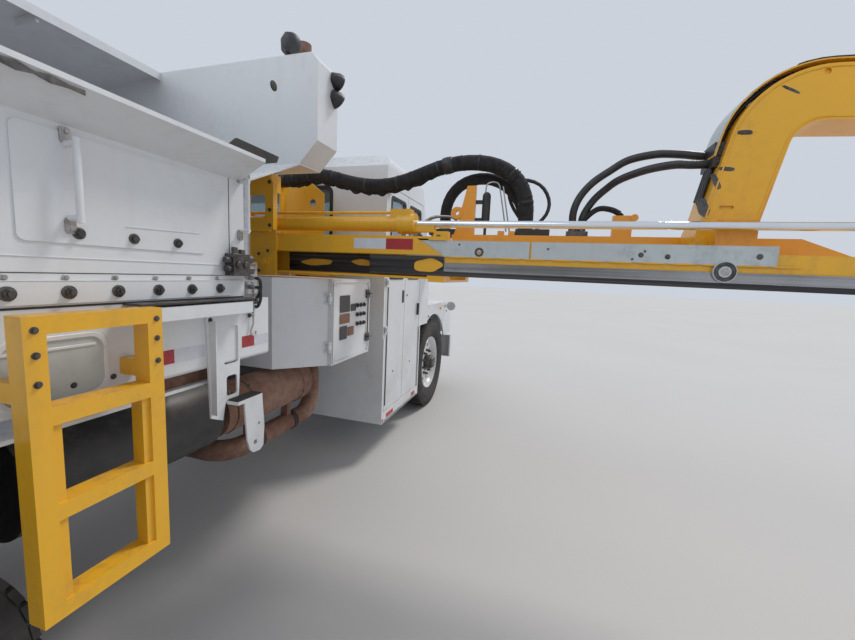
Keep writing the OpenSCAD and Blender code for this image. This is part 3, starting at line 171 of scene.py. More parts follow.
def painted(name, colour, rough=0.38, dirt=(0.33, 0.29, 0.24), dirt_share=0.5, chip=(0.2, 0.19, 0.18),
            chip_low=0.68, low_dirt=0.0, streaks=0.35, coat=0.25):
    """Paint with mottled dust, grime running down, chips and more dirt near the ground."""
    n = Nodes(name)
    broad = n.ramp(n.noise(2.2, 6, 0.65, seed=3.1), 0.35, 0.75)
    fine = n.ramp(n.noise(24.0, 8, 0.7, seed=1.3), 0.4, 0.8)
    runs = n.ramp(n.noise(5.0, 6, 0.62, stretch=(1.6, 1.6, 0.16), seed=5.5), 0.52, 0.78)
    dust = n.math("MULTIPLY", n.math("MULTIPLY", broad, fine), dirt_share)
    dust = n.math("ADD", dust, n.math("MULTIPLY", runs, streaks * 0.35))
    dust = n.math("ADD", dust, n.math("MULTIPLY", n.math("MULTIPLY", n.upward(), fine), 0.35))
    if low_dirt:
        near = n.ramp(n.height(), 1.5, 0.5)
        dust = n.math("ADD", dust, n.math("MULTIPLY", n.math("MULTIPLY", near, broad), low_dirt))
    shade = n.ramp(n.noise(0.9, 3, 0.5, seed=9.0), 0.3, 0.7, 0.94, 1.03)
    tint = n.add("ShaderNodeVectorMath", operation="SCALE")
    tint.inputs[0].default_value = colour
    n.link(shade, tint.inputs["Scale"])
    body = n.mix(dust, tint.outputs[0], dirt)
    chips = n.ramp(n.noise(38.0, 10, 0.72, seed=11.0), chip_low, chip_low + 0.05)
    chips = n.math("MULTIPLY", chips, n.ramp(n.noise(1.7, 3, 0.5, seed=13.0), 0.5, 0.72))
    body = n.mix(chips, body, chip)
    n.link(body, n.shader.inputs["Base Color"])
    gloss = n.math("ADD", n.ramp(fine, 0, 1, rough, rough + 0.2), n.math("MULTIPLY", chips, 0.25))
    n.link(gloss, n.shader.inputs["Roughness"])
    n.shader.inputs["Coat Weight"].default_value = coat
    n.shader.inputs["Coat Roughness"].default_value = 0.2
    wave = n.noise(3.0, 2, 0.4, seed=17.0)
    n.bump(n.math("ADD", wave, n.math("MULTIPLY", chips, -0.25)), 0.12, 0.012)
    return n.mat


def plain(name, colour, rough=0.6, metal=0.0, other=None, scale=30.0, bump=0.15, depth=0.004,
          stretch=(1, 1, 1)):
    """A material of two mixed tones with a fine grain."""
    n = Nodes(name)
    other = other or tuple(c * 0.6 for c in colour)
    grain = n.noise(scale, 8, 0.65, stretch=stretch, seed=2.0)
    patch = n.noise(scale * 0.12, 5, 0.6, seed=8.0)
    share = n.ramp(n.math("ADD", n.math("MULTIPLY", grain, 0.5), n.math("MULTIPLY", patch, 0.5)),
                   0.36, 0.66)
    n.link(n.mix(share, colour, other), n.shader.inputs["Base Color"])
    n.link(n.ramp(grain, 0.2, 0.8, max(rough - 0.12, 0.03), min(rough + 0.12, 1.0)),
           n.shader.inputs["Roughness"])
    n.shader.inputs["Metallic"].default_value = metal
    n.bump(grain, bump, depth)
    return n.mat


def greasy_slide(name):
    """Yellow rail worn to steel and smeared with black grease along its travel."""
    n = Nodes(name)
    smear = n.noise(3.2, 6, 0.6, stretch=(3.0, 0.35, 4.0), seed=4.0)
    black = n.ramp(smear, 0.3, 0.36)
    lines = n.noise(14.0, 4, 0.5, stretch=(3.0, 0.05, 6.0), seed=6.0)
    grease = n.mix(n.ramp(lines, 0.45, 0.7), (0.016, 0.015, 0.017), (0.09, 0.085, 0.085))
    n.link(n.mix(black, (0.6, 0.32, 0.03), grease), n.shader.inputs["Base Color"])
    n.link(n.ramp(lines, 0.3, 0.7, 0.25, 0.5), n.shader.inputs["Roughness"])
    n.bump(lines, 0.2, 0.003)
    return n.mat


WHITE = painted("white_paint", (0.7, 0.72, 0.745), 0.3, dirt_share=0.28, streaks=0.3, low_dirt=0.25)
YELLOW = painted("yellow_paint", (0.8, 0.42, 0.02), 0.34, dirt=(0.25, 0.16, 0.08), dirt_share=0.4,
                 chip=(0.1, 0.09, 0.08), chip_low=0.63, streaks=0.5)
# A darker, more orange copy of the yellow paint: painted shade, for yellow parts that stand in shade
SHADED_YELLOW = painted("orange_paint", (0.78, 0.335, 0.022), 0.36, dirt=(0.2, 0.11, 0.06), dirt_share=0.45,
                 streaks=0.4)
BLACK_PAINT = painted("black_paint", (0.022, 0.022, 0.025), 0.45, dirt=(0.16, 0.14, 0.12),
                      dirt_share=0.35, low_dirt=0.35, coat=0.05)
GUARD_GREY = painted("plate_grey", (0.5, 0.55, 0.56), 0.34, dirt=(0.12, 0.13, 0.13), dirt_share=0.45,
                     streaks=0.6, coat=0.05)
RUST = plain("rusty_steel", (0.17, 0.085, 0.055), 0.85, 0.15, other=(0.33, 0.2, 0.15), scale=22,
             bump=0.5, depth=0.006)
SOOT = plain("sooty_steel", (0.035, 0.03, 0.028), 0.7, 0.3, other=(0.12, 0.07, 0.05), scale=14,
             bump=0.35)
STEEL = plain("bare_steel", (0.52, 0.52, 0.53), 0.32, 0.95, other=(0.32, 0.3, 0.28), scale=45)
DARK_STEEL = plain("dark_steel", (0.055, 0.052, 0.055), 0.42, 0.7, other=(0.16, 0.15, 0.14), scale=60)
CHROME = plain("chromed_rod", (0.8, 0.82, 0.86), 0.09, 1.0, other=(0.7, 0.72, 0.76), scale=5,
               bump=0.01)
ALUMINIUM = plain("aluminium", (0.62, 0.63, 0.65), 0.35, 0.9, other=(0.42, 0.42, 0.43), scale=35)
RUBBER = plain("black_rubber", (0.018, 0.018, 0.019), 0.72, other=(0.05, 0.047, 0.043), scale=35,
               bump=0.3)
HOSE = plain("hose_rubber", (0.014, 0.015, 0.018), 0.42, other=(0.035, 0.035, 0.038), scale=60,
             bump=0.12)
SLEEVE = plain("woven_sleeve", (0.012, 0.012, 0.014), 0.9, other=(0.032, 0.032, 0.035), scale=240,
               bump=0.9, depth=0.004)
TYRE = plain("tyre_rubber", (0.022, 0.021, 0.021), 0.85, other=(0.075, 0.068, 0.06), scale=9,
             bump=0.3)
PLASTIC = plain("dark_plastic", (0.03, 0.03, 0.033), 0.5, other=(0.055, 0.055, 0.058), scale=80)
SEAT = plain("seat_fabric", (0.06, 0.06, 0.07), 0.95, other=(0.1, 0.1, 0.11), scale=260, bump=0.6)
RIM_WHITE = painted("rim_white", (0.74, 0.75, 0.76), 0.35, dirt=(0.24, 0.2, 0.17), dirt_share=0.6,
                    streaks=0.2, low_dirt=0.4)
GREASE = greasy_slide("greasy_rail")
POLISHED = plain("polished_rail", (0.42, 0.42, 0.43), 0.24, 0.9, other=(0.13, 0.125, 0.12), scale=6,
                 stretch=(4, 0.08, 9), bump=0.08)
TAPE_RED = plain("red_tape", (0.42, 0.03, 0.035), 0.3, other=(0.33, 0.022, 0.03), scale=160, bump=0.1)
TAPE_WHITE = plain("white_tape", (0.62, 0.65, 0.7), 0.3, other=(0.52, 0.54, 0.58), scale=160,
                   bump=0.1)
BLANK_DARK = plain("blank_plate_dark", (0.03, 0.03, 0.032), 0.45, other=(0.06, 0.05, 0.05), scale=50)
BLANK_TAN = plain("blank_plate_tan", (0.26, 0.12, 0.06), 0.5, other=(0.2, 0.09, 0.05), scale=50)
LAMP_RED = plain("red_lens", (0.5, 0.02, 0.02), 0.12, other=(0.4, 0.015, 0.015), scale=90, bump=0.05)
LAMP_AMBER = plain("amber_lens", (0.9, 0.42, 0.02), 0.12, other=(0.8, 0.3, 0.02), scale=90, bump=0.05)
LAMP_CLEAR = plain("clear_lens", (0.75, 0.77, 0.8), 0.08, other=(0.6, 0.62, 0.66), scale=60, bump=0.05)


def glass_material():
    n = Nodes("tinted_glass")
    n.shader.inputs["Base Color"].default_value = (0.5, 0.6, 0.64, 1)
    n.shader.inputs["Transmission Weight"].default_value = 0.85
    n.shader.inputs["IOR"].default_value = 1.3
    smear = n.ramp(n.noise(4.0, 5, 0.6), 0.4, 0.75, 0.03, 0.16)
    n.link(smear, n.shader.inputs["Roughness"])
    return n.mat


GLASS = glass_material()

NODE_MATERIALS = {
    WHITE: ("front_bumper cab_shell entry_box hopper_side hopper_left_wall hopper_front refuse_body "
            "side_skirt step_column control_cabinet rear_bumper hood left_door entry_leaf_rear "
            "entry_leaf_front cabinet_door tailgate"),
    YELLOW: ("access_ladder arm_frame_rear arm_frame_front boom_rear_rail boom_front_rail "
             "slide_cylinder stage_rails lift_arm"),
    # the carriage beam gets the yellow paint's shaded copy: painted shade
    SHADED_YELLOW: "carriage_beam",
    GUARD_GREY: "cover_plates",
    BLACK_PAINT: "chassis_frame cross_members front_axle rear_axles air_canister mirrors tow_eyes "
                 "knuckle_left knuckle_right finger_front finger_rear carriage_fittings",
    DARK_STEEL: "engine_block",
    RUST: "exhaust_drums exhaust_stack packer",
    ALUMINIUM: "fuel_tank valve_block fender_mirror",
    CHROME: "slide_rod lift_rod",
    GLASS: "cab_glass",
    PLASTIC: "cab_interior",
    RUBBER: "rubber_flap",
    TYRE: "front_wheel_left front_wheel_right mid_wheels_left mid_wheels_right rear_wheels_left "
          "rear_wheels_right",
}


def dress_frame():
    for material, names in NODE_MATERIALS.items():
        for name in names.split():
            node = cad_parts[name]
            node.data.materials.clear()
            node.data.materials.append(material)


dress_frame()


# Building pieces

def angles(n):
    return [2 * math.pi * k / n for k in range(n)]


def steps(start, pitch, n):
    return [start + pitch * k for k in range(n)]


def frame_on(axis):
    """A direction and two more, square to it and to each other."""
    along = Vector(axis).normalized()
    ref = along.orthogonal().normalized()
    return along, ref, along.cross(ref)


def slab(side, near, far):
    """Low and high y of what lies between two distances from the middle, on one side."""
    return sorted((side * near, side * far))


class Shape:
    """One piece of the object: shapes in the truck's axes, gathered in one mesh."""

    def __init__(self):
        self.bm = bmesh.new()

    def faces(self, points, faces):
        verts = [self.bm.verts.new(p) for p in points]
        for face in faces:
            self.bm.faces.new([verts[i] for i in face])
        return verts

    def box(self, x0, x1, y0, y1, z0, z1):
        points = [(x, y, z) for x in (x0, x1) for y in (y0, y1) for z in (z0, z1)]
        self.faces(points, [(0, 1, 3, 2), (4, 6, 7, 5), (0, 4, 5, 1), (2, 3, 7, 6), (0, 2, 6, 4),
                            (1, 5, 7, 3)])

    def prism(self, outline, axis, low, high):
        """An outline in the two other axes, drawn out along one axis."""
        def spot(a, b, c):
            return {"x": (c, a, b), "y": (a, c, b), "z": (a, b, c)}[axis]
        n = len(outline)
        points = [spot(a, b, low) for a, b in outline] + [spot(a, b, high) for a, b in outline]
        sides = [(i, (i + 1) % n, n + (i + 1) % n, n + i) for i in range(n)]
        self.faces(points, sides + [tuple(reversed(range(n))), tuple(range(n, 2 * n))])

    def ring(self, centre, ref, other, r, sides):
        return [self.bm.verts.new(centre + r * (math.cos(t) * ref + math.sin(t) * other))
                for t in angles(sides)]

    def skin(self, rings):
        """Faces from ring to ring, and one over each end."""
        for one, two in zip(rings, rings[1:]):
            for k in range(len(one)):
                m = (k + 1) % len(one)
                self.bm.faces.new((one[k], one[m], two[m], two[k]))
        self.bm.faces.new(list(reversed(rings[0])))
        self.bm.faces.new(rings[-1])

    def rod(self, a, b, r, sides=20):
        self.sweep([a, b], r, sides)

    def sweep(self, points, r, sides=12):
        """A tube through points, closed at both ends."""
        points = [Vector(p) for p in points]
        last = len(points) - 1
        rings = []
        ref = None
        for i, p in enumerate(points):
            along = (points[min(i + 1, last)] - points[max(i - 1, 0)]).normalized()
            if ref is None:
                ref = along.orthogonal().normalized()
            ref = (ref - along * ref.dot(along)).normalized()
            rings.append(self.ring(p, ref, along.cross(ref), r, sides))
        self.skin(rings)

    def lathe(self, centre, axis, profile, sides=48):
        """A closed profile of (distance along, radius) turned round an axis through centre."""
        centre = Vector(centre)
        along, ref, other = frame_on(axis)
        rings = []
        for t in angles(sides):
            out = math.cos(t) * ref + math.sin(t) * other
            rings.append([self.bm.verts.new(centre + along * a + out * r) for a, r in profile])
        n = len(profile)
        for one, two in zip(rings, rings[1:] + rings[:1]):
            for i in range(n):
                m = (i + 1) % n
                self.bm.faces.new((one[i], one[m], two[m], two[i]))
        bmesh.ops.remove_doubles(self.bm, verts=[v for ring in rings for v in ring], dist=1e-6)

    def collar(self, centre, axis, low, high, inner, outer, sides):
        """A plain ring from low to high along its axis; solid where inner is 0."""
        self.lathe(centre, axis, [(low, inner), (low, outer), (high, outer), (high, inner)], sides)

    def ferrule(self, centre, axis, inner, outer, lip, long, sides):
        """A collar whose far end narrows to the lip's radius over its last 10 percent or so."""
        body, full = long
        self.lathe(centre, axis, [(0.0, inner), (0.0, outer), (body, outer), (full, lip),
                                  (full, inner)], sides)

    def disc(self, centre, axis, r, h, sides=24, dome=0.0):
        """A low round body standing on centre along axis, with a rounded top."""
        centre = Vector(centre)
        along, ref, other = frame_on(axis)
        levels = [(0, r), (h * 0.75, r), (h, r * 0.9)]
        if dome:
            levels += [(h + dome * math.sin(a), r * 0.9 * math.cos(a)) for a in (0.5, 1.0, 1.35)]
        self.skin([self.ring(centre + along * a, ref, other, size, sides) for a, size in levels])

    def bolt(self, place, axis, r=0.011, h=0.008):
        """A hexagon head on a washer."""
        place = Vector(place)
        along = Vector(axis).normalized()
        self.disc(place, along, r * 1.5, h * 0.3, 14)
        self.disc(place + along * h * 0.25, along, r, h, 6)

    def bolts(self, xs, ys, zs, axis, r=0.011, h=0.008):
        """A bolt at every mix of the given places."""
        for x in xs:
            for y in ys:
                for z in zs:
                    self.bolt((x, y, z), axis, r, h)

    def piece(self, name, material, smooth=35, bevel=0.0, body="truck", slot=None):
        """Make the piece: smooth is the angle that shades smooth, body what it rides on."""
        bmesh.ops.recalc_face_normals(self.bm, faces=self.bm.faces)
        mesh = bpy.data.meshes.new(name)
        self.bm.to_mesh(mesh)
        self.bm.free()
        mesh.transform(Matrix.Translation(SHIFT))
        mesh.materials.append(material)
        if smooth:
            mesh.shade_smooth()
            mesh.set_sharp_from_angle(angle=math.radians(smooth))
        obj = bpy.data.objects.new(name, mesh)
        bpy.context.scene.collection.objects.link(obj)
        if bevel:
            soft = obj.modifiers.new("edges", "BEVEL")
            soft.width = bevel
            soft.segments = 2
            soft.limit_method = "ANGLE"
            soft.angle_limit = math.radians(40)
        if body:
            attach(obj, body)
        return obj


def smooth_route(points, parts):
    """More points on a smooth curve through the given ones."""
    points = [Vector(p) for p in points]
    ends = [2 * points[0] - points[1]] + points + [2 * points[-1] - points[-2]]
    route = []
    for a, b, c, d in zip(ends, ends[1:], ends[2:], ends[3:]):
        for k in range(parts):
            t = k / parts
            route.append(0.5 * (2 * b + (c - a) * t + (2 * a - 5 * b + 4 * c - d) * t * t
                                + (3 * b - a - 3 * c + d) * t ** 3))
    return route + [points[-1]]


def lying(x, yz):
    return [(x, y / 1000, z / 1000) for y, z in yz]


BUNDLE_X, ARCH_X, LOOP_X = -1.9, -1.808, -1.752

# Hoses of the boom: name, body, CAD plane x, diameter, material and route (y, z) in millimetres
HOSES = (
    ("hose_bundle", "boom_stage_1", BUNDLE_X, 0.096, "sleeve", (
        (-474.3, 2266), (-560, 2266), (-640, 2276), (-735, 2290), (-865, 2285), (-1000, 2253),
        (-1134, 2222), (-1260, 2208), (-1380, 2212), (-1490, 2235), (-1600, 2270), (-1725, 2312),
        (-1860, 2338), (-2000, 2338), (-2120, 2310), (-2215, 2255), (-2280, 2175), (-2312, 2080),
        (-2318, 1990), (-2318, 1905.3))),
    ("hose_arch", "boom_stage_2", ARCH_X, 0.076, "sleeve", (
        (-1765, 1905.3), (-1765, 1990), (-1770, 2070), (-1800, 2150), (-1860, 2215), (-1945, 2252),
        (-2040, 2258), (-2130, 2232), (-2205, 2180), (-2262, 2110), (-2295, 2030), (-2305, 1960),
        (-2305, 1905.3))),
    ("hose_loop", "boom_stage_2", LOOP_X, 0.024, "hose", (
        (-2300, 1905.3), (-2300, 1950), (-2275, 2000), (-2225, 2070), (-2192, 2145), (-2190, 2215),
        (-2240, 2252), (-2310, 2254), (-2385, 2225), (-2435, 2165), (-2455, 2095), (-2440, 2030),
        (-2405, 1985), (-2390, 1950), (-2390, 1905.3))),
)
BUNDLE_ROUTE = HOSES[0][5]


def add_cords():
    """The three free hoses, each a curve on the route of its solid, which is hidden."""
    for name, body, x, diameter, kind, route in HOSES:
        points = smooth_route(lying(x, route), 2)
        curve = bpy.data.curves.new(name + "_line", "CURVE")
        curve.dimensions = "3D"
        curve.bevel_depth = diameter / 2
        curve.bevel_resolution = 5
        curve.use_fill_caps = True
        spline = curve.splines.new("POLY")
        spline.points.add(len(points) - 1)
        for dot, p in zip(spline.points, points):
            dot.co = (*(p + SHIFT), 1.0)
        spline.use_smooth = True
        cord = bpy.data.objects.new(name + "_line", curve)
        bpy.context.scene.collection.objects.link(cord)
        curve.materials.append(SLEEVE if kind == "sleeve" else HOSE)
        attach(cord, body)
        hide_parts(name)


def plate(shape, outline, holes, low, high, sides=24):
    """A flat plate square to y, from an outline (x, z) and round holes (x, z, r)."""
    curve = bpy.data.curves.new("plate", "CURVE")
    curve.dimensions = "2D"
    curve.fill_mode = "BOTH"
    curve.extrude = (high - low) / 2
    rings = [outline]
    for a, b, r in holes:
        turns = [2 * math.pi * (k + 0.5) / sides for k in range(sides)]
        rings.append([(a + r * math.cos(t), b + r * math.sin(t)) for t in turns])
    for ring in rings:
        spline = curve.splines.new("POLY")
        spline.points.add(len(ring) - 1)
        for dot, (a, b) in zip(spline.points, ring):
            dot.co = (a, b, 0, 1)
        spline.use_cyclic_u = True
    holder = bpy.data.objects.new("plate", curve)
    mesh = bpy.data.meshes.new_from_object(holder)
    mesh.transform(Matrix(((1, 0, 0, 0), (0, 0, -1, (low + high) / 2), (0, 1, 0, 0), (0, 0, 0, 1))))
    shape.bm.from_mesh(mesh)
    bpy.data.objects.remove(holder)
    bpy.data.curves.remove(curve)
    bpy.data.meshes.remove(mesh)


def ring_points(r, n, start=0.0):
    return [(r * math.cos(start + t), r * math.sin(start + t)) for t in angles(n)]


def rounded_box(a0, a1, b0, b1, r, n=5):
    points = []
    for ca, cb, start in ((a1 - r, b1 - r, 0), (a0 + r, b1 - r, 90), (a0 + r, b0 + r, 180),
                          (a1 - r, b0 + r, 270)):
        for k in range(n + 1):
            t = math.radians(start + 90 * k / n)
            points.append((ca + r * math.cos(t), cb + r * math.sin(t)))
    return points


# Wheels

WHEEL_Z = 0.5275
FRONT_AXLE, REAR_AXLES = 0.0, (-4.39, -5.71)


def tyre(shape, x, y, drive):
    """Casing with shouldered sidewalls and a tread of blocks, turned round the wheel's axis."""
    half = [(-0.098, 0.3), (-0.108, 0.318), (-0.126, 0.352), (-0.138, 0.405), (-0.14, 0.43),
            (-0.136, 0.4345), (-0.138, 0.439), (-0.134, 0.478), (-0.127, 0.5), (-0.118, 0.513)]
    crown = [(-0.09, 0.515), (-0.045, 0.516), (0.0, 0.5165)]
    profile = half + crown + [(-a, r) for a, r in reversed(half + crown[:-1])]
    inner = [(0.09, 0.302), (-0.09, 0.302)]
    shape.lathe((x, y, WHEEL_Z), LEFT, profile + inner, 72)
    count, gap = (48, 0.24) if drive else (60, 0.1)
    columns = ((-0.128, -0.082), (-0.074, -0.031), (-0.023, 0.023), (0.031, 0.074), (0.082, 0.128))
    for col, (a0, a1) in enumerate(columns):
        for k in range(count):
            start = k + (0.0 if col % 2 else 0.5)
            points = []
            for t in (2 * math.pi * start / count, 2 * math.pi * (start + 1 - gap) / count):
                for a in (a0, a1):
                    for r in (0.505, WHEEL_Z - (0.0045 if abs(a) > 0.1 else 0.0)):
                        points.append((x + r * math.cos(t), y + a, WHEEL_Z + r * math.sin(t)))
            shape.faces(points, [(0, 1, 3, 2), (4, 6, 7, 5), (0, 4, 5, 1), (2, 3, 7, 6), (1, 5, 7, 3)])


def rim(shape, x, y, disc_y, out):
    """Rim barrel with flanges, and the dished disc with its ten hand holes."""
    barrel = [(-0.112, 0.303), (-0.116, 0.312), (-0.108, 0.316), (-0.1, 0.298), (-0.06, 0.288),
              (-0.04, 0.272), (0.04, 0.272), (0.06, 0.288), (0.1, 0.298), (0.108, 0.316),
              (0.116, 0.312), (0.112, 0.303), (0.092, 0.286), (0.05, 0.262), (-0.05, 0.262),
              (-0.092, 0.286)]
    shape.lathe((x, y, WHEEL_Z), LEFT, barrel, 72)
    holes = [(x + a, WHEEL_Z + b, 0.024) for a, b in ring_points(0.215, 10)]
    outline = [(x + a, WHEEL_Z + b) for a, b in ring_points(0.264, 72)]
    plate(shape, outline, holes, disc_y - 0.006, disc_y + 0.006)
    shape.lathe((x, disc_y, WHEEL_Z), (0, out, 0), [(0.004, 0.11), (0.004, 0.182), (0.009, 0.178),
                                                    (0.016, 0.158), (0.016, 0.11)], 48)


def hub(shape, x, y, out, front):
    """Hub cap on its face at y, with a ring of bolts."""
    if front:
        profile = [(0.0, 0.0), (0.0, 0.062), (0.01, 0.068), (0.022, 0.06), (0.026, 0.0)]
    else:
        profile = [(0.0, 0.0), (0.0, 0.098), (0.012, 0.104), (0.02, 0.09), (0.03, 0.086), (0.034, 0.0)]
    shape.lathe((x, y, WHEEL_Z), (0, out, 0), profile, 32)
    for a, b in ring_points(0.05 if front else 0.075, 8):
        shape.bolt((x + a, y + out * (0.022 if front else 0.03), WHEEL_Z + b), (0, out, 0), 0.007, 0.008)


def lug_nuts(shape, x, y, out):
    for a, b in ring_points(0.1475, 10, math.pi / 10):
        place = Vector((x + a, y, WHEEL_Z + b))
        shape.disc(place, (0, out, 0), 0.019, 0.006, 16)
        shape.disc(place + Vector((0, out * 0.005, 0)), (0, out, 0), 0.0155, 0.02, 6)
        shape.disc(place + Vector((0, out * 0.024, 0)), (0, out, 0), 0.0085, 0.014, 10)


def add_wheels():
    mid, rear = REAR_AXLES
    axles = (("front", FRONT_AXLE, True), ("mid", mid, False), ("rear", rear, False))
    for axle, x, front in axles:
        for side, out in (("left", 1), ("right", -1)):
            body = axle + ("_wheel_" if front else "_wheels_") + side
            tyres, rims, nuts, hubs = Shape(), Shape(), Shape(), Shape()
            if front:
                tyre(tyres, x, out * 1.06, False)
                rim(rims, x, out * 1.06, out * 1.11, out)
                lug_nuts(nuts, x, out * 1.126, out)
                hubs.lathe((x, out * 1.02, WHEEL_Z), (0, out, 0),
                           [(0, 0.05), (0, 0.128), (0.1, 0.128), (0.11, 0.085), (0.165, 0.085),
                            (0.18, 0.078), (0.18, 0.05)], 48)
                hub(hubs, x, out * 1.198, out, True)
                hubs.lathe((x, out * 0.965, WHEEL_Z), (0, out, 0),
                           [(-0.1, 0.1), (-0.1, 0.205), (0.06, 0.205), (0.075, 0.13), (0.075, 0.1)],
                           48)
            else:
                tyre(tyres, x, out * 1.085, True)
                tyre(tyres, x, out * 0.755, True)
                rim(rims, x, out * 1.085, out * 0.995, out)
                rim(rims, x, out * 0.755, out * 0.845, out)
                lug_nuts(nuts, x, out * 1.011, out)
                hubs.lathe((x, out * 0.69, WHEEL_Z), (0, out, 0),
                           [(0, 0.07), (0, 0.128), (0.345, 0.128), (0.36, 0.108), (0.4, 0.1),
                            (0.4, 0.07)], 48)
                hub(hubs, x, out * 1.088, out, False)
            shape = tyres.piece(body + "_tyres", TYRE, 30, body=body)
            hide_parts(body)
            rims.piece(body + "_rims", RIM_WHITE, 32, body=body)
            nuts.piece(body + "_nuts", DARK_STEEL, 40, body=body)
            hubs.piece(body + "_hub", DARK_STEEL if front else RUST, 35, body=body)


# Boom and arm

def band(shape, points, lift, x0, x1):
    """A strip as thick as lift, over a line of (y, z) points and from x0 to x1."""
    n = len(points)
    outer = []
    for i, p in enumerate(points):
        a = Vector(points[max(i - 1, 0)])
        b = Vector(points[min(i + 1, n - 1)])
        d = (b - a).normalized()
        outer.append((p[0] - d.y * lift, p[1] + d.x * lift))
    verts = []
    for (a, b), (c, d) in zip(points, outer):
        verts += [(x0, a, b), (x1, a, b), (x1, c, d), (x0, c, d)]
    faces = [(0, 3, 2, 1), tuple(4 * (n - 1) + k for k in range(4))]
    for i in range(n - 1):
        for k in range(4):
            m = (k + 1) % 4
            faces.append((4 * i + k, 4 * i + m, 4 * i + 4 + m, 4 * i + 4 + k))
    shape.faces(verts, faces)


def add_neck_hoses():
    """Two hoses from a port block on the carriage up to the clamp at the neck's edge.

    Each run has its x at the carriage, its x at the clamp, and its route (y, z).
    """
    runs = (
        (-1.99, -2.095, ((-2.6, 1.895), (-2.595, 2.000), (-2.624, 2.088), (-2.685, 2.165), (-2.774, 2.232),
                  (-2.86, 2.279), (-2.987, 2.297), (-3.09, 2.287), (-3.16, 2.275),
                  (-3.225, 2.265))),
        (-1.975, -2.15, ((-2.65, 1.895), (-2.652, 1.98), (-2.7, 2.073), (-2.766, 2.139), (-2.829, 2.179),
                  (-2.945, 2.212), (-3.06, 2.222), (-3.14, 2.215), (-3.225, 2.215))),
    )
    for k, (x, target, route) in enumerate(runs):
        last = len(route) - 1
        points = []
        for i, (y, z) in enumerate(route):
            share = min(max(0.0, (i - 2) / (last - 3)), 1.0) if i < last else 1.0
            share = share * share * (3 - 2 * share)
            lane = -2.02 if (k == 0 and 1 <= i <= 3) else x
            points.append((lane + (target - lane) * share, y, z))
        hose = Shape()
        hose.sweep(smooth_route(points, 6), 0.021, 16)
        piece = hose.piece(f"neck_hose_{k + 1}", HOSE, 40, body=None)
        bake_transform(piece)
    ports = Shape()
    ports.box(-2.018, -1.955, -2.685, -2.565, 1.8655, 1.893)
    for x, y in ((-1.99, -2.6), (-1.975, -2.65)):
        ports.ferrule((x, y, 1.892), UP, 0.015, 0.0245, 0.0225, (0.04, 0.045), 20)
    ports.piece("neck_hose_ports", DARK_STEEL, 40, 0.002, body="boom_stage_2", slot="black_paint")


# Right side of the hopper, whose sheet stands at this y
SIDE = -1.22


def add_side_bolts():
    """Rows of dark bolts and pale rivets, and the feet of the two grab handles."""
    dark = Shape()
    dark.bolts((-3.727, -3.577, -3.426), [SIDE - 0.004], [1.67], RIGHT, 0.011, 0.011)
    for x in steps(-4.656, 0.128, 12):
        dark.bolt((x, SIDE - 0.006, 1.508), RIGHT, 0.0125, 0.012)
        dark.rod((x, SIDE - 0.014, 1.508), (x, SIDE - 0.026, 1.508), 0.007, 10)
    dark.bolts((-4.62, -4.3), [SIDE], [1.64], RIGHT, 0.01, 0.01)
    dark.bolts((-3.86, -3.76, -3.655), [SIDE], [1.245], RIGHT, 0.006, 0.005)
    dark.piece("hopper_side_bolts", DARK_STEEL, 40)

    pale = Shape()
    for x in steps(-4.649, 0.1265, 12):
        pale.disc((x, SIDE, 1.5475), RIGHT, 0.0085, 0.003, 14)
        pale.bolt((x, SIDE - 0.002, 1.5475), RIGHT, 0.0055, 0.006)
    for bar_x, low, high in ((-3.747, 1.7, 1.91), (-3.135, 1.742, 1.952)):
        for z in (low - 0.012, high + 0.012):
            pale.prism(rounded_box(bar_x - 0.013, bar_x + 0.013, z - 0.022, z + 0.022, 0.009), "y",
                       SIDE - 0.009, SIDE - 0.0015)
            pale.bolt((bar_x, SIDE - 0.009, z + (0.01 if z > high else -0.01)), RIGHT, 0.006,
                      0.005)
    pale.piece("hopper_side_rivets", STEEL, 40)


def add_side_seams():
    """Dark seams and pale folded edges of the hopper's sheets."""
    seams = Shape()
    for x0, x1, z0, z1 in ((-4.745, -3.115, 1.5585, 1.561), (-4.745, -3.115, 1.4665, 1.4725),
                           (-3.1925, -3.1895, 1.57, 1.955)):
        seams.box(x0, x1, SIDE - 0.0008, SIDE + 0.001, z0, z1)
    seams.prism([(-3.46, 1.4625), (-3.62, 1.464), (-3.615, 1.47), (-3.4, 1.468), (-3.1, 1.4655),
                 (-3.1, 1.4625)], "y", -1.296, -1.2225)
    seams.piece("hopper_side_seams", BLANK_DARK, 0)

    folds = Shape()
    folds.box(-4.745, -3.2, SIDE - 0.0022, SIDE + 0.001, 1.6, 1.6032)
    folds.prism([(-3.6, 1.703), (-3.335, 1.712), (-3.335, 1.716), (-3.6, 1.707)], "y", SIDE - 0.0062,
                SIDE - 0.0035)
    folds.box(-4.745, -3.112, SIDE - 0.0075, SIDE + 0.001, 1.5385, 1.541)
    folds.piece("hopper_side_folds", WHITE, 0, 0.0008)


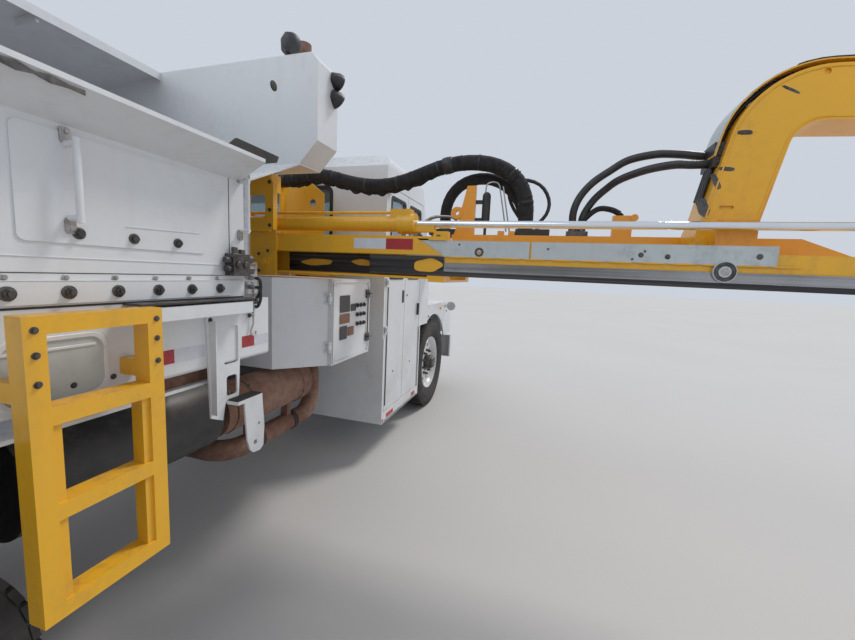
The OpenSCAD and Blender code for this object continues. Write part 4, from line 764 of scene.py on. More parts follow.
def add_skirt_marks():
    """Tapes, blank labels and the bordered panel on the skirt, whose recess is a flat grey sheet of
    painted shade.
    """
    reds, whites = Shape(), Shape()
    y0, y1 = SIDE - 0.0012, SIDE + 0.001
    for a, b, c in ((-4.7, -4.56, -4.33), (-3.585, -3.451, -3.32), (-3.128, -3.055, -2.965)):
        reds.box(a, b, y0, y1, 1.2445, 1.2945)
        whites.box(b, c, y0, y1, 1.244, 1.292)
    reds.piece("skirt_tape_red", TAPE_RED, 0)
    whites.piece("skirt_tape_white", TAPE_WHITE, 0)

    labels, tops = Shape(), Shape()
    labels.box(-3.587, -3.502, y0, y1, 1.3, 1.336)
    tops.box(-3.587, -3.502, y0, y1, 1.336, 1.352)
    labels.box(-3.15, -3.028, y0, y1, 1.433, 1.455)
    labels.piece("skirt_blank_labels", BLANK_DARK, 0)
    tops.piece("skirt_blank_label_top", BLANK_TAN, 0)

    recess, edge = Shape(), Shape()
    outline = rounded_box(-3.925, -3.668, 1.205, 1.392, 0.045)
    inner = rounded_box(-3.912, -3.681, 1.218, 1.379, 0.036)
    ring = outline + [outline[0]] + [inner[0]] + list(reversed(inner))
    edge.prism(ring, "y", SIDE - 0.006, SIDE + 0.001)
    edge.box(-3.92, -3.7, SIDE - 0.0045, SIDE, 1.352, 1.36)
    edge.piece("skirt_panel_border", WHITE, 30, 0.0015)
    # the recess is not cut; a flat grey sheet in its place is painted shade on the white paint
    recess.prism(inner, "y", y0, y1)
    recess.piece("skirt_panel_recess_painted_shade", GUARD_GREY, 30, slot="white_paint")


def add_hook_chain():
    """A chain of nine links on its eye, with a hook at its end."""
    hook = Shape()
    x, y = -3.072, SIDE - 0.012
    hook.sweep([(x, SIDE - 0.002, 1.529), (x, y, 1.529), (x, y, 1.52)], 0.0035, 8)
    for k, z in enumerate(steps(1.513, -0.0155, 9)):
        turn = k % 2
        ring = []
        for t in angles(12):
            u, v = 0.0052 * math.cos(t), 0.0098 * math.sin(t)
            ring.append((x + (u if turn else 0), y + (0 if turn else u), z + v))
        hook.sweep(ring + [ring[0]], 0.0019, 6)
    hook.sweep([(x, y, 1.384), (x, y, 1.345), (x - 0.008, y, 1.33), (x - 0.016, y, 1.315),
                (x - 0.014, y, 1.298), (x, y, 1.291), (x + 0.013, y, 1.298), (x + 0.017, y, 1.312)],
               0.0035, 8)
    hook.piece("side_hook_chain", STEEL, 50)


def add_shield_marks():
    """The torn edge of the flare and the round grommet in the shield."""
    torn = Shape()
    y, z = -1.3485, 2.035
    points = [(-3.93, 0.0), (-3.9, 0.004), (-3.87, -0.003), (-3.84, 0.003), (-3.8, -0.002), (-3.77, 0)]
    torn.prism([(x, z - 0.022 + d) for x, d in points] + [(x, z - 0.034 - d) for x, d in
                                                          reversed(points)], "y", y - 0.001, y + 0.003)
    torn.piece("flare_torn_edge", DARK_STEEL, 0)

    grommet = Shape()
    grommet.disc((-2.92, SIDE, 2.42), RIGHT, 0.022, 0.004, 24)
    grommet.piece("shield_grommet", RUBBER, 40)


def add_step_details():
    """Tread and bolts of the step and the ladder's guides."""
    pad = Shape()
    pad.box(-3.2235, -3.0855, -1.2855, -1.2295, 1.0355, 1.0385)
    for x in steps(-3.217, 0.0125, 11):
        pad.box(x, x + 0.006, -1.2835, -1.2315, 1.038, 1.0415)
    pad.piece("step_tread_pad", RUBBER, 0)
    bolts = Shape()
    for x, z in ((-3.3, 1.385), (-3.09, 1.385), (-3.215, 1.072), (-3.095, 1.072)):
        bolts.bolt((x, -1.2275, z), RIGHT, 0.0065, 0.006)
    bolts.bolts((-3.608, -3.903), [-1.3455], (1.3, 1.37, 1.43), RIGHT, 0.006, 0.005)
    bolts.piece("step_bolts", DARK_STEEL, 40)


def add_boom_details():
    """Tapes, bolts, guide rollers, and holes of the rails drawn as dark discs of painted shade."""
    red, white = Shape(), Shape()
    x = -2.4803
    white.box(x, x + 0.002, -1.608, -1.411, 1.731, 1.789)
    red.box(x, x + 0.002, -1.767, -1.608, 1.73, 1.789)
    white.piece("boom_tape_white", TAPE_WHITE, 0, body="boom_stage_1")
    red.piece("boom_tape_red", TAPE_RED, 0, body="boom_stage_1")

    bolts = Shape()
    bolts.bolts([-2.45], (-0.52, -0.62, -1.8, -1.9), [1.8055], UP, 0.009, 0.008)
    bolts.bolts([-1.868], (-0.5, -0.58), [2.3205], UP, 0.007, 0.007)
    bolts.piece("boom_rail_bolts", DARK_STEEL, 40, body="boom_stage_1")

    caps, rings = Shape(), Shape()
    for face, y, z, r in ((-2.459, -2.127, 1.728, 0.0235), (-2.473, -3.22, 1.67, 0.043)):
        rings.lathe((face, y, z), BACK, [(0.0, r * 0.55), (0.0, r), (0.0012, r), (0.0018, r * 0.9),
                                               (0.0018, r * 0.62), (0.0008, r * 0.55)], 36)
        caps.disc((face, y, z), BACK, r * 0.5, 0.0012, 6)
    rings.piece("guide_roller_rings", DARK_STEEL, 40, body="boom_stage_2")
    caps.piece("guide_roller_caps", STEEL, 40, body="boom_stage_2")
    dark = Shape()
    # dark discs stand for the holes: painted shade inside them; the two bolts are real
    for y, z, r in ((-3.345, 1.74, 0.013), (-2.47, 1.752, 0.006), (-1.79, 1.752, 0.006),
                    (-2.9, 1.752, 0.006), (-2.85, 1.715, 0.006), (-2.02, 1.765, 0.006)):
        dark.disc((-2.4588, y, z), BACK, r, 0.002, 16)
    for y, z in ((-2.885, 1.735), (-2.995, 1.73)):
        dark.bolt((-2.4588, y, z), BACK, 0.008, 0.006)
    dark.piece("cover_plate_hole_shade", DARK_STEEL, 40, body="boom_stage_2")


def add_hose_ends():
    """Thin pipes on the carriage, ferrules of the hoses, ties and collar of the bundle."""
    pipes = Shape()
    route = ((-1905, 1872), (-1900, 1930), (-1865, 1975), (-1800, 1985), (-1720, 1978), (-1660, 1940),
             (-1630, 1905))
    for x in (-1.985, -1.957):
        pipes.sweep(smooth_route(lying(x, route), 4), 0.0075, 12)
    pipes.piece("carriage_thin_pipes", STEEL, 50, body="boom_stage_2")

    ends = Shape()
    z = 1.9055
    for x, y, r in ((ARCH_X, -1.765, 0.041), (ARCH_X, -2.305, 0.041), (LOOP_X, -2.3, 0.015),
                    (LOOP_X, -2.39, 0.015)):
        ends.ferrule((x, y, z), UP, r - 0.004, r, r - 0.002, (0.055, 0.062), 20)
        ends.disc((x, y, z - 0.0003), UP, r * 1.02, 0.012, 6)
    ends.piece("hose_ferrules", STEEL, 40, body="boom_stage_2")

    ties = Shape()
    route = smooth_route(lying(BUNDLE_X, BUNDLE_ROUTE), 2)
    for share in (0.09, 0.17, 0.26, 0.36, 0.47, 0.58, 0.7, 0.8, 0.9):
        i = int(share * (len(route) - 1))
        along = (route[i + 1] - route[i - 1]).normalized()
        ties.collar(route[i], along, -0.006, 0.006, 0.0475, 0.0495, 24)
    ties.piece("bundle_ties", HOSE, 50, body="boom_stage_1")

    collar = Shape()
    collar.ferrule((BUNDLE_X, -0.4735, 2.266), RIGHT, 0.046, 0.052, 0.0485, (0.05, 0.055), 28)
    collar.piece("bundle_collar", HOSE, 50, body="boom_stage_1")


def add_slide_marks():
    """Grease, worn yellow patches and polished streaks left on the rails by the slide."""
    worn, worn_out, grease, film, polish = Shape(), Shape(), Shape(), Shape(), Shape()
    web_film = -2.4597, -2.4588

    def blot(shape, x, y, z, ly, lz, seed):
        rnd = random.Random(seed)
        a, b = rnd.random() * 6, rnd.random() * 6
        points = []
        for t in angles(48):
            s = 0.92 + 0.08 * math.sin(2 * t + a) + 0.05 * math.sin(5 * t + b)
            points.append((y + ly * s * math.cos(t), z + lz * s * math.sin(t)))
        shape.prism(points, "x", x - 0.0006, x + 0.001)

    film.box(-2.3765, -2.3752, -1.498, -0.905, 1.5915, 1.704)
    film.piece("rail_web_grease", GREASE, 0, body="boom_stage_1")
    for k, (y, z, ly, lz) in enumerate(((-1.105, 1.647, 0.118, 0.022), (-1.42, 1.655, 0.078, 0.02))):
        blot(worn, -2.3768, y, z, ly, lz, 30 + k)
    worn.piece("rail_worn_patches", YELLOW, 0, body="boom_stage_1")
    grease.box(*web_film, -1.94, -1.502, 1.6215, 1.6995)
    grease.box(*web_film, -3.775, -1.502, 1.5955, 1.6212)
    grease.piece("rail_grease", GREASE, 0, body="boom_stage_2")
    blot(worn_out, -2.4599, -1.85, 1.65, 0.085, 0.04, 40)
    for k in range(12):
        blot(worn_out, -2.46, -2.02 - 0.13 * k, 1.6985, 0.06, 0.004, 50 + k)
    worn_out.piece("stage_worn_patches", YELLOW, 0, body="boom_stage_2")
    polish.box(*web_film, -3.77, -1.941, 1.6215, 1.668)
    polish.piece("rail_polish", POLISHED, 0, body="boom_stage_2")


def add_sleeve_fringe():
    """Folds in the sleeve of the hose bundle, its torn edge hanging below, and a wrap round it."""
    route = smooth_route(lying(BUNDLE_X, BUNDLE_ROUTE), 6)
    rnd = random.Random(5)
    cloth, folds = Shape(), Shape()
    n = len(route)
    first, last = int(0.05 * n), int(0.58 * n)
    edge = []
    for i in range(first, last):
        along = (route[i + 1] - route[i - 1]).normalized()
        down = Vector((0, along.z, -along.y))
        if down.z > 0:
            down = -down
        near = min(i - first, last - 1 - i) / 6
        deep = 0.047 + min(near, 1.0) * (0.006 + 0.012 * rnd.random() + 0.007 * math.sin(i * 1.3))
        edge.append((route[i] + down * 0.036, route[i] + down * deep))
    for (a, b), (c, d) in zip(edge, edge[1:]):
        for half in (-1, 1):
            off = Vector((0.012 * half, 0, 0))
            thin = Vector((0.0015 * half, 0, 0))
            cloth.faces([a + off, c + off, d + off + thin, b + off + thin, a, c, d + off, b + off],
                        [(0, 1, 2, 3), (7, 6, 5, 4), (3, 2, 6, 7)])
    for i in range(int(0.04 * n), int(0.94 * n)):
        a, b = route[i], route[i + 1]
        along = (b - a).normalized()
        ref = Vector((1, 0, 0))
        other = along.cross(ref)
        start = rnd.random() * 2 * math.pi
        sweep = 0.9 + 1.6 * rnd.random()
        skew = (rnd.random() - 0.5) * 0.03
        arc = []
        for k in range(9):
            t = start + sweep * k / 8
            lift = 0.0462 + 0.0024 * math.sin(math.pi * k / 8)
            arc.append(a + along * skew * k / 8 + lift * (math.cos(t) * ref + math.sin(t) * other))
        folds.sweep(arc, 0.0034, 6)
    cloth.piece("sleeve_torn_cloth", SLEEVE, 0, body="boom_stage_1")
    folds.piece("sleeve_folds", SLEEVE, 60, body="boom_stage_1")
    knot = Shape()
    k = int(0.6 * n)
    along = (route[k + 1] - route[k - 1]).normalized()
    knot.lathe(route[k], along, [(-0.035, 0.046), (-0.028, 0.053), (0.0, 0.055), (0.03, 0.052),
                                 (0.036, 0.046)], 22)
    knot.piece("sleeve_wrap", HOSE, 50, body="boom_stage_1")


def add_carriage_lines():
    """A short sleeved hose to the orange bracket, and the thin rods beside the vessel."""
    hose, rods = Shape(), Shape()
    x = -1.985
    route = ((-2640, 1915), (-2655, 1955), (-2700, 2005), (-2745, 2028), (-2805, 2020), (-2850, 1998))
    hose.sweep(smooth_route(lying(x, route), 5), 0.016, 12)
    hose.sweep([(x, -2.85, 1.998), (x, -2.862, 1.988), (x, -2.864, 1.9853)], 0.011, 12)
    hose.piece("carriage_short_hose", SLEEVE, 50, body="boom_stage_2")
    for y, top, low in ((-2.15, 2.172, -2.205), (-2.172, 2.168, -2.226)):
        rods.sweep([(-1.975, y, top), (-1.975, low, 1.9), (-1.975, low - 0.002, 1.8905)], 0.0045, 10)
    route = ((-2150, 2170), (-2135, 2190), (-2100, 2196), (-2070, 2180), (-2064, 2130))
    rods.sweep(smooth_route(lying(-1.975, route), 4), 0.0045, 10)
    rods.piece("carriage_thin_rods", STEEL, 50, body="boom_stage_2")


def add_neck_details():
    """Clamp of the hoses on the neck's edge toward the truck."""
    clamps = Shape()
    clamps.box(-2.215, -2.06, -3.252, -3.205, 2.185, 2.3)
    clamps.bolts([-2.215], [-3.226], (2.205, 2.243, 2.28), BACK, 0.007, 0.007)
    clamps.piece("neck_hose_clamps", BLACK_PAINT, 40, 0.002, body="lift_arm")


# Cab

SCREEN = Matrix.Translation((-0.485, 0.0, 2.06)) @ Matrix.Rotation(-math.atan(340 / 860), 4, "Y")


def frame_ring(shape, outer, inner, axis, low, high):
    """The border between two outlines that have as many points."""
    n = len(outer)
    for i in range(n):
        m = (i + 1) % n
        shape.prism([outer[i], outer[m], inner[m], inner[i]], axis, low, high)


def shrink(outline, by):
    """An outline moved in by a distance, for outlines whose corners turn one way."""
    points = [Vector(p) for p in outline]
    n = len(points)
    area = sum(points[i].cross(points[(i + 1) % n]) for i in range(n))
    sign = 1 if area > 0 else -1
    moved = []
    for i in range(n):
        a, b, c = points[i - 1], points[i], points[(i + 1) % n]
        n1 = Vector((-(b - a).y, (b - a).x)).normalized() * sign
        n2 = Vector((-(c - b).y, (c - b).x)).normalized() * sign
        mid = (n1 + n2).normalized()
        moved.append(tuple(b + mid * (by / max(mid.dot(n1), 0.3))))
    return moved


def add_screen():
    """Seal and wipers on the leaning windscreen."""
    seal, wipers, blades = Shape(), Shape(), Shape()
    outer = rounded_box(-1.088, 1.088, -0.338, 0.338, 0.05)
    inner = rounded_box(-1.058, 1.058, -0.308, 0.308, 0.035)
    frame_ring(seal, outer, inner, "x", 0.004, 0.0165)
    for side in (1, -1):
        base = Vector((0.03, side * 0.52 - 0.1, -0.372))
        tip = Vector((0.024, side * 0.52 + 0.16, -0.03))
        wipers.disc(base - Vector((0.02, 0, 0)), AHEAD, 0.02, 0.024, 18)
        wipers.rod(base, tip, 0.006, 10)
        along = Vector((0, 0.42, 0.908))
        blades.rod(tip - along * 0.22, tip + along * 0.22, 0.0055, 8)
        foot = Vector((0.012, tip.y, tip.z))
        blades.rod(foot - along * 0.26, foot + along * 0.26, 0.004, 8)
        for share in (-0.2, -0.07, 0.07, 0.2):
            blades.rod(tip + along * share, foot + along * share * 1.1, 0.004, 6)
    for shape in (seal, wipers, blades):
        bmesh.ops.transform(shape.bm, matrix=SCREEN, verts=shape.bm.verts)
    seal.piece("windscreen_seal", RUBBER, 30)
    wipers.piece("wiper_arms", PLASTIC, 50)
    blades.piece("wiper_blades", RUBBER, 50)


def add_roof_lamps():
    lamps, bases = Shape(), Shape()
    for y in (-0.98, -0.2, 0.0, 0.2, 0.98):
        z = 2.5595 if abs(y) < 0.5 else 2.556
        bases.prism(rounded_box(-0.875, -0.805, y - 0.035, y + 0.035, 0.012), "z", z - 0.002, z + 0.008)
        lamps.prism(rounded_box(-0.868, -0.812, y - 0.028, y + 0.028, 0.012), "z", z + 0.007, z + 0.03)
    bases.piece("roof_lamp_bases", RUBBER, 40)
    lamps.piece("roof_marker_lamps", LAMP_AMBER, 40, 0.005)


def add_rear_window_seal():
    back = Shape()
    frame_ring(back, rounded_box(-0.722, 0.722, 1.728, 2.302, 0.06),
               rounded_box(-0.694, 0.694, 1.756, 2.274, 0.04), "x", -1.5665, -1.556)
    back.piece("rear_window_seal", RUBBER, 30)


def add_doors():
    """Window panes with their seals, handles and locks on the cab's doors."""
    panes, seals, handles = Shape(), Shape(), Shape()
    window = [(-1.25, 1.64), (-0.53, 1.64), (-0.53, 1.7), (-0.745, 2.2), (-1.25, 2.2)]
    panes.prism(shrink(window, -0.004), "y", 1.192, 1.196)
    frame_ring(seals, shrink(window, -0.014), shrink(window, 0.012), "y", 1.2085, 1.2145)
    handles.prism(rounded_box(-1.305, -1.15, 1.5, 1.545, 0.012), "y", 1.2095, 1.214)
    handles.sweep([(-1.285, 1.213, 1.523), (-1.285, 1.236, 1.523), (-1.18, 1.236, 1.523),
                   (-1.18, 1.213, 1.523)], 0.007, 10)
    handles.disc((-1.215, 1.21, 1.475), LEFT, 0.011, 0.004, 18)
    panes.piece("left_door_pane", GLASS, 0, body="left_door")
    seals.piece("left_door_seal", RUBBER, 30, body="left_door")
    handles.piece("left_door_handle", PLASTIC, 40, body="left_door")

    for name, x0, x1 in (("entry_leaf_rear", -1.514, -1.074), ("entry_leaf_front", -1.066, -0.632)):
        panes, seals, handles = Shape(), Shape(), Shape()
        low = (x0 + 0.06, x1 - 0.06, 1.56, 2.22)
        panes.box(low[0] - 0.004, low[1] + 0.004, -1.198, -1.194, low[2] - 0.004, low[3] + 0.004)
        outer = rounded_box(low[0] - 0.016, low[1] + 0.016, low[2] - 0.016, low[3] + 0.016, 0.04)
        inner = rounded_box(low[0] + 0.01, low[1] - 0.01, low[2] + 0.01, low[3] - 0.01, 0.025)
        frame_ring(seals, outer, inner, "y", -1.2145, -1.2085)
        if name == "entry_leaf_rear":
            handles.prism(rounded_box(-1.14, -1.092, 1.33, 1.445, 0.008), "y", -1.2135, -1.2095)
            for z in (1.362, 1.374, 1.386, 1.398, 1.41):
                handles.box(-1.134, -1.098, -1.215, -1.213, z, z + 0.005)
            handles.box(-1.486, -1.47, -1.214, -1.2095, 0.45, 1.48)
        else:
            handles.disc((-1.01, -1.2098, 1.395), RIGHT, 0.01, 0.004, 18)
            handles.box(-0.7, -0.672, -1.23, -1.2095, 1.18, 1.3)
        handles.disc((x0 + 0.2, -1.2098, 0.72), RIGHT, 0.009, 0.003, 18)
        panes.piece(name + "_pane", GLASS, 0, body=name)
        seals.piece(name + "_seal", RUBBER, 30, body=name)
        handles.piece(name + "_handle", PLASTIC, 40, body=name)


def add_entry_details():
    """Reflectors, toothed step edge, and side gaps of the low entry drawn as dark strips of painted shade.
    """
    reds, bar, gaps = Shape(), Shape(), Shape()
    y0, y1 = -1.2212, -1.2195
    for x0, x1, z0, z1 in ((-1.552, -1.53, 0.312, 0.348), (-1.46, -1.3, 0.335, 0.372),
                           (-0.8, -0.7, 0.335, 0.372)):
        reds.box(x0, x1, y0, y1, z0, z1)
    reds.piece("entry_reflectors", LAMP_RED, 0)
    bar.box(-1.52, -0.63, -1.2195, -1.2185, 0.312, 0.33)
    for x in steps(-1.51, 0.0365, 24):
        bar.prism([(x, 0.3135), (x + 0.022, 0.3135), (x + 0.018, 0.3285), (x + 0.004, 0.3285)], "y",
                  -1.225, -1.219)
    bar.piece("entry_step_edge", STEEL, 0, slot="aluminium")
    # dark strips in the gaps beside the entry: painted shade between the parts
    for x in (-1.52, -0.62):
        gaps.box(x - 0.002, x + 0.002, -1.2204, -1.219, 0.402, 1.05)
    gaps.piece("entry_gap_shade", RUBBER, 0)


def add_cabinet():
    """Latches, trim, switches and blank plates of the cabinet's door, and the cabinet's bolts."""
    latch, dark, tan, switches, trim = Shape(), Shape(), Shape(), Shape(), Shape()
    y = -1.2245
    for z in (1.44, 1.12):
        latch.prism(rounded_box(-1.925, -1.87, z - 0.03, z + 0.03, 0.01), "y", y - 0.006, y + 0.001)
        latch.sweep([(-1.9, y - 0.004, z), (-1.9, y - 0.016, z), (-1.862, y - 0.016, z + 0.004)],
                    0.0055, 10)
    latch.rod((-1.897, y - 0.004, 1.15), (-1.897, y - 0.004, 1.41), 0.004, 10)
    latch.piece("cabinet_latches", DARK_STEEL, 40, body="cabinet_door", slot="black_paint")
    plates = ((-2.29, -2.165, 1.33, 1.44), (-2.29, -2.165, 1.255, 1.318), (-2.145, -2.075, 1.33,
              1.378), (-2.29, -2.2, 1.15, 1.238), (-2.185, -2.105, 1.165, 1.225))
    for k, (x0, x1, z0, z1) in enumerate(plates):
        shape = tan if k in (1, 4) else dark
        shape.prism(rounded_box(x0, x1, z0, z1, 0.004), "y", y - 0.0012, y + 0.001)
    dark.piece("cabinet_blank_plates", BLANK_DARK, 0, body="cabinet_door")
    tan.piece("cabinet_blank_plates_tan", BLANK_TAN, 0, body="cabinet_door")
    for x in (-2.055, -2.005, -1.955):
        for z in (1.365, 1.3, 1.235):
            switches.disc((x, y, z), RIGHT, 0.016, 0.004, 20)
            switches.disc((x, y - 0.003, z), RIGHT, 0.01, 0.01, 20, 0.003)
    switches.piece("cabinet_switches", PLASTIC, 40, body="cabinet_door", slot="dark_plastic")
    frame_ring(trim, rounded_box(-2.375, -1.866, 1.008, 1.537, 0.02), rounded_box(-2.363, -1.878, 1.02,
               1.525, 0.014), "y", y - 0.0022, y + 0.001)
    trim.bolts((-2.35, -1.89), [y], (1.035, 1.51), RIGHT, 0.006, 0.005)
    trim.piece("cabinet_door_trim", WHITE, 30, 0.0008, body="cabinet_door")
    seams = Shape()
    seams.bolts([-2.3835], (-1.15, -0.52), (1.06, 1.27, 1.48), BACK, 0.007, 0.006)
    seams.piece("cabinet_bolts", STEEL, 40)


def add_hood_details():
    """Lamps, mesh and latches of the hood."""
    lens, rim_piece, amber, mesh = Shape(), Shape(), Shape(), Shape()
    for side in (1, -1):
        lens.disc((0.9065, side * 0.78, 0.96), AHEAD, 0.0765, 0.006, 40, 0.012)
        rim_piece.collar((0.9195, side * 0.78, 0.96), AHEAD, 0.0, 0.006, 0.07, 0.077, 40)
        amber.prism(rounded_box(side * 1.035 - 0.055, side * 1.035 + 0.055, 0.925, 0.995, 0.02), "x",
                    0.882, 0.9235)
        amber.disc((0.3, side * 1.2005, 1.185), (0, side, 0), 0.026, 0.008, 24, 0.006)
    lens.piece("headlamp_lenses", LAMP_CLEAR, 60, body="hood")
    rim_piece.piece("headlamp_rims", CHROME, 40, body="hood")
    amber.piece("hood_turn_lamps", LAMP_AMBER, 40, 0.004, body="hood")
    for y in steps(-0.42, 0.021, 41):
        mesh.rod((0.868, y, 0.864), (0.846, y, 1.312), 0.0018, 6)
    for z in steps(0.868, 0.021, 22):
        x = 0.868 - 0.022 * (z - 0.864) / 0.448
        mesh.rod((x, -0.428, z), (x, 0.428, z), 0.0018, 6)
    mesh.piece("grille_mesh", PLASTIC, 50, body="hood")
    latches = Shape()
    for side in (1, -1):
        latches.box(-0.235, -0.195, side * 0.905 - 0.008, side * 0.905 + 0.008, 1.3, 1.42)
        latches.bolts([-0.215], [side * 0.9135], (1.4, 1.32), (0, side, 0), 0.01, 0.008)
        latches.bolts((-0.235, 0.62), [side * 1.2005], [1.12], (0, side, 0), 0.008, 0.006)
    latches.piece("hood_latches", RUBBER, 40, body="hood")


def add_front_details():
    """Radiator behind the mesh, bolts of the bumper and the blank plate on it."""
    core = Shape()
    core.box(0.56, 0.615, -0.4, 0.4, 0.78, 1.26)
    for y in steps(-0.39, 0.0205, 39):
        core.box(0.613, 0.619, y, y + 0.007, 0.79, 1.25)
    for z0 in (0.76, 1.255):
        core.box(0.552, 0.624, -0.41, 0.41, z0, z0 + 0.028)
    core.piece("radiator", DARK_STEEL, 0, slot="engine_grey")
    bumper = Shape()
    bumper.bolts([1.0135], (-0.95, -0.62, 0.62, 0.95), (0.66, 0.5), AHEAD, 0.01, 0.006)
    bumper.piece("front_bumper_bolts", STEEL, 40)
    plate_piece = Shape()
    plate_piece.prism(rounded_box(-0.155, 0.155, 0.5, 0.655, 0.008), "x", 1.015, 1.019)
    plate_piece.piece("front_blank_plate", ALUMINIUM, 30)


def add_mirror_details():
    """Mirror glass and rims, with a bolt at each clamp."""
    glass, heads = Shape(), Shape()
    for side in (1, -1):
        low, high = slab(side, 1.25, 1.43)
        glass.prism(rounded_box(low, high, 1.86, 2.085, 0.02), "x", -0.393, -0.3895)
        glass.prism(rounded_box(low, high, 1.685, 1.83, 0.02), "x", -0.3935, -0.3895)
        frame_ring(heads, rounded_box(low - 0.006, high + 0.006, 1.672, 2.094, 0.025),
                   rounded_box(low, high, 1.68, 2.088, 0.02), "x", -0.396, -0.3895)
        heads.box(-0.3945, -0.3895, low, high, 1.838, 1.852)
        heads.bolts([-0.3295], [side * 1.34], (1.7, 2.06), AHEAD, 0.007, 0.006)
    glass.piece("mirror_glass", CHROME, 30, slot="glass")
    heads.piece("mirror_rims", PLASTIC, 30)


def add_shield_lamps():
    """The horn on top of the shield and the two work lamps at its edge."""
    horn = Shape()
    x, y = -2.51, -0.983
    horn.disc((x, y, 2.728), UP, 0.03, 0.012, 24)
    horn.rod((x, y, 2.735), (x, y, 2.8), 0.012, 14)
    horn.lathe((x, y, 2.8), (0.25, -0.35, 1), [(0.0, 0.0), (0.0, 0.034), (0.045, 0.056),
                                                     (0.085, 0.052), (0.105, 0.03), (0.112, 0.0)], 28)
    horn.piece("shield_horn", PLASTIC, 50)
    lamps, lens = Shape(), Shape()
    for z, tilt in ((2.56, -0.5), (2.655, -0.2)):
        centre = Vector((-2.445, -1.262, z))
        lamps.rod((-2.445, -1.205, z), (-2.445, -1.25, z), 0.012, 12)
        lamps.lathe(centre, (1.0, -0.4, tilt), [(-0.045, 0.0), (-0.04, 0.026), (0.0, 0.045),
                                                (0.022, 0.047), (0.022, 0.0)], 28)
        lens.lathe(centre, (1.0, -0.4, tilt), [(0.0225, 0.0), (0.0225, 0.041), (0.027, 0.036),
                                               (0.03, 0.0)], 28)
    lamps.piece("work_lamps", BLACK_PAINT, 50)
    lens.piece("work_lamp_lenses", LAMP_CLEAR, 60)


# Rear and underside

def add_rear_details():
    """Lamps and tapes at the rear and along the body, and the tailgate's seal."""
    red, white, amber, seal = Shape(), Shape(), Shape(), Shape()
    for side in (1, -1):
        for y in (1.06, 0.9):
            red.disc((-7.6605, side * y, 0.68), BACK, 0.05, 0.01, 32, 0.008)
        white.disc((-7.6605, side * 0.74, 0.68), BACK, 0.05, 0.01, 32, 0.008)
        for x in (-5.15, -6.35, -7.45):
            amber.disc((x, side * 1.2205, 1.165), (0, side, 0), 0.022, 0.007, 24, 0.006)
    reds, whites = Shape(), Shape()
    for k, a in enumerate(steps(-0.6, 0.2, 6)):
        (reds if k % 2 else whites).box(-7.6612, -7.6595, a, a + 0.2, 0.655, 0.705)
    for side in (1, -1):
        y0, y1 = slab(side, 1.2195, 1.2212)
        for k, a in enumerate(steps(-7.53, 0.3, 9)):
            (reds if k % 2 else whites).box(a, a + 0.3, y0, y1, 1.128, 1.178)
    reds.piece("body_tape_red", TAPE_RED, 0)
    whites.piece("body_tape_white", TAPE_WHITE, 0)
    red.piece("tail_lamps", LAMP_RED, 60)
    white.piece("reverse_lamps", LAMP_CLEAR, 60)
    amber.piece("side_marker_lamps", LAMP_AMBER, 60)

    for side in (-1, 1):
        seal.box(-7.612, -7.6015, *slab(side, 1.165, 1.205), 1.13, 3.54)
    seal.box(-7.612, -7.6015, -1.205, 1.205, 1.125, 1.16)
    seal.piece("tailgate_seal", RUBBER, 0)


def add_tailgate():
    """Stiffening ribs and locks on the bulged rear shell."""
    ribs, locks = Shape(), Shape()
    for y in (-1.1, -0.55, 0.0, 0.55, 1.1):
        ribs.prism(rounded_box(y - 0.03, y + 0.03, 2.03, 2.83, 0.012), "x", -8.1495, -8.1475)
    for side in (1, -1):
        outer = [(-7.72, 1.2), (-7.72, 3.46), (-7.84, 3.46), (-8.05, 2.85), (-8.05, 2.05), (-7.8, 1.2)]
        y0, y1 = slab(side, 1.2195, 1.222)
        frame_ring(ribs, outer, shrink(outer, 0.035), "y", y0, y1)
        locks.box(-7.69, -7.56, *slab(side, 1.2205, 1.242), 1.2, 1.262)
        locks.disc((-7.66, side * 1.241, 1.231), (0, side, 0), 0.022, 0.012, 20)
        locks.box(-7.7, -7.6, *slab(side, 1.2205, 1.235), 3.3, 3.36)
    ribs.piece("tailgate_ribs", WHITE, 30, 0.001, body="tailgate")
    locks.piece("tailgate_locks", DARK_STEEL, 40, 0.002, body="tailgate", slot="black_paint")


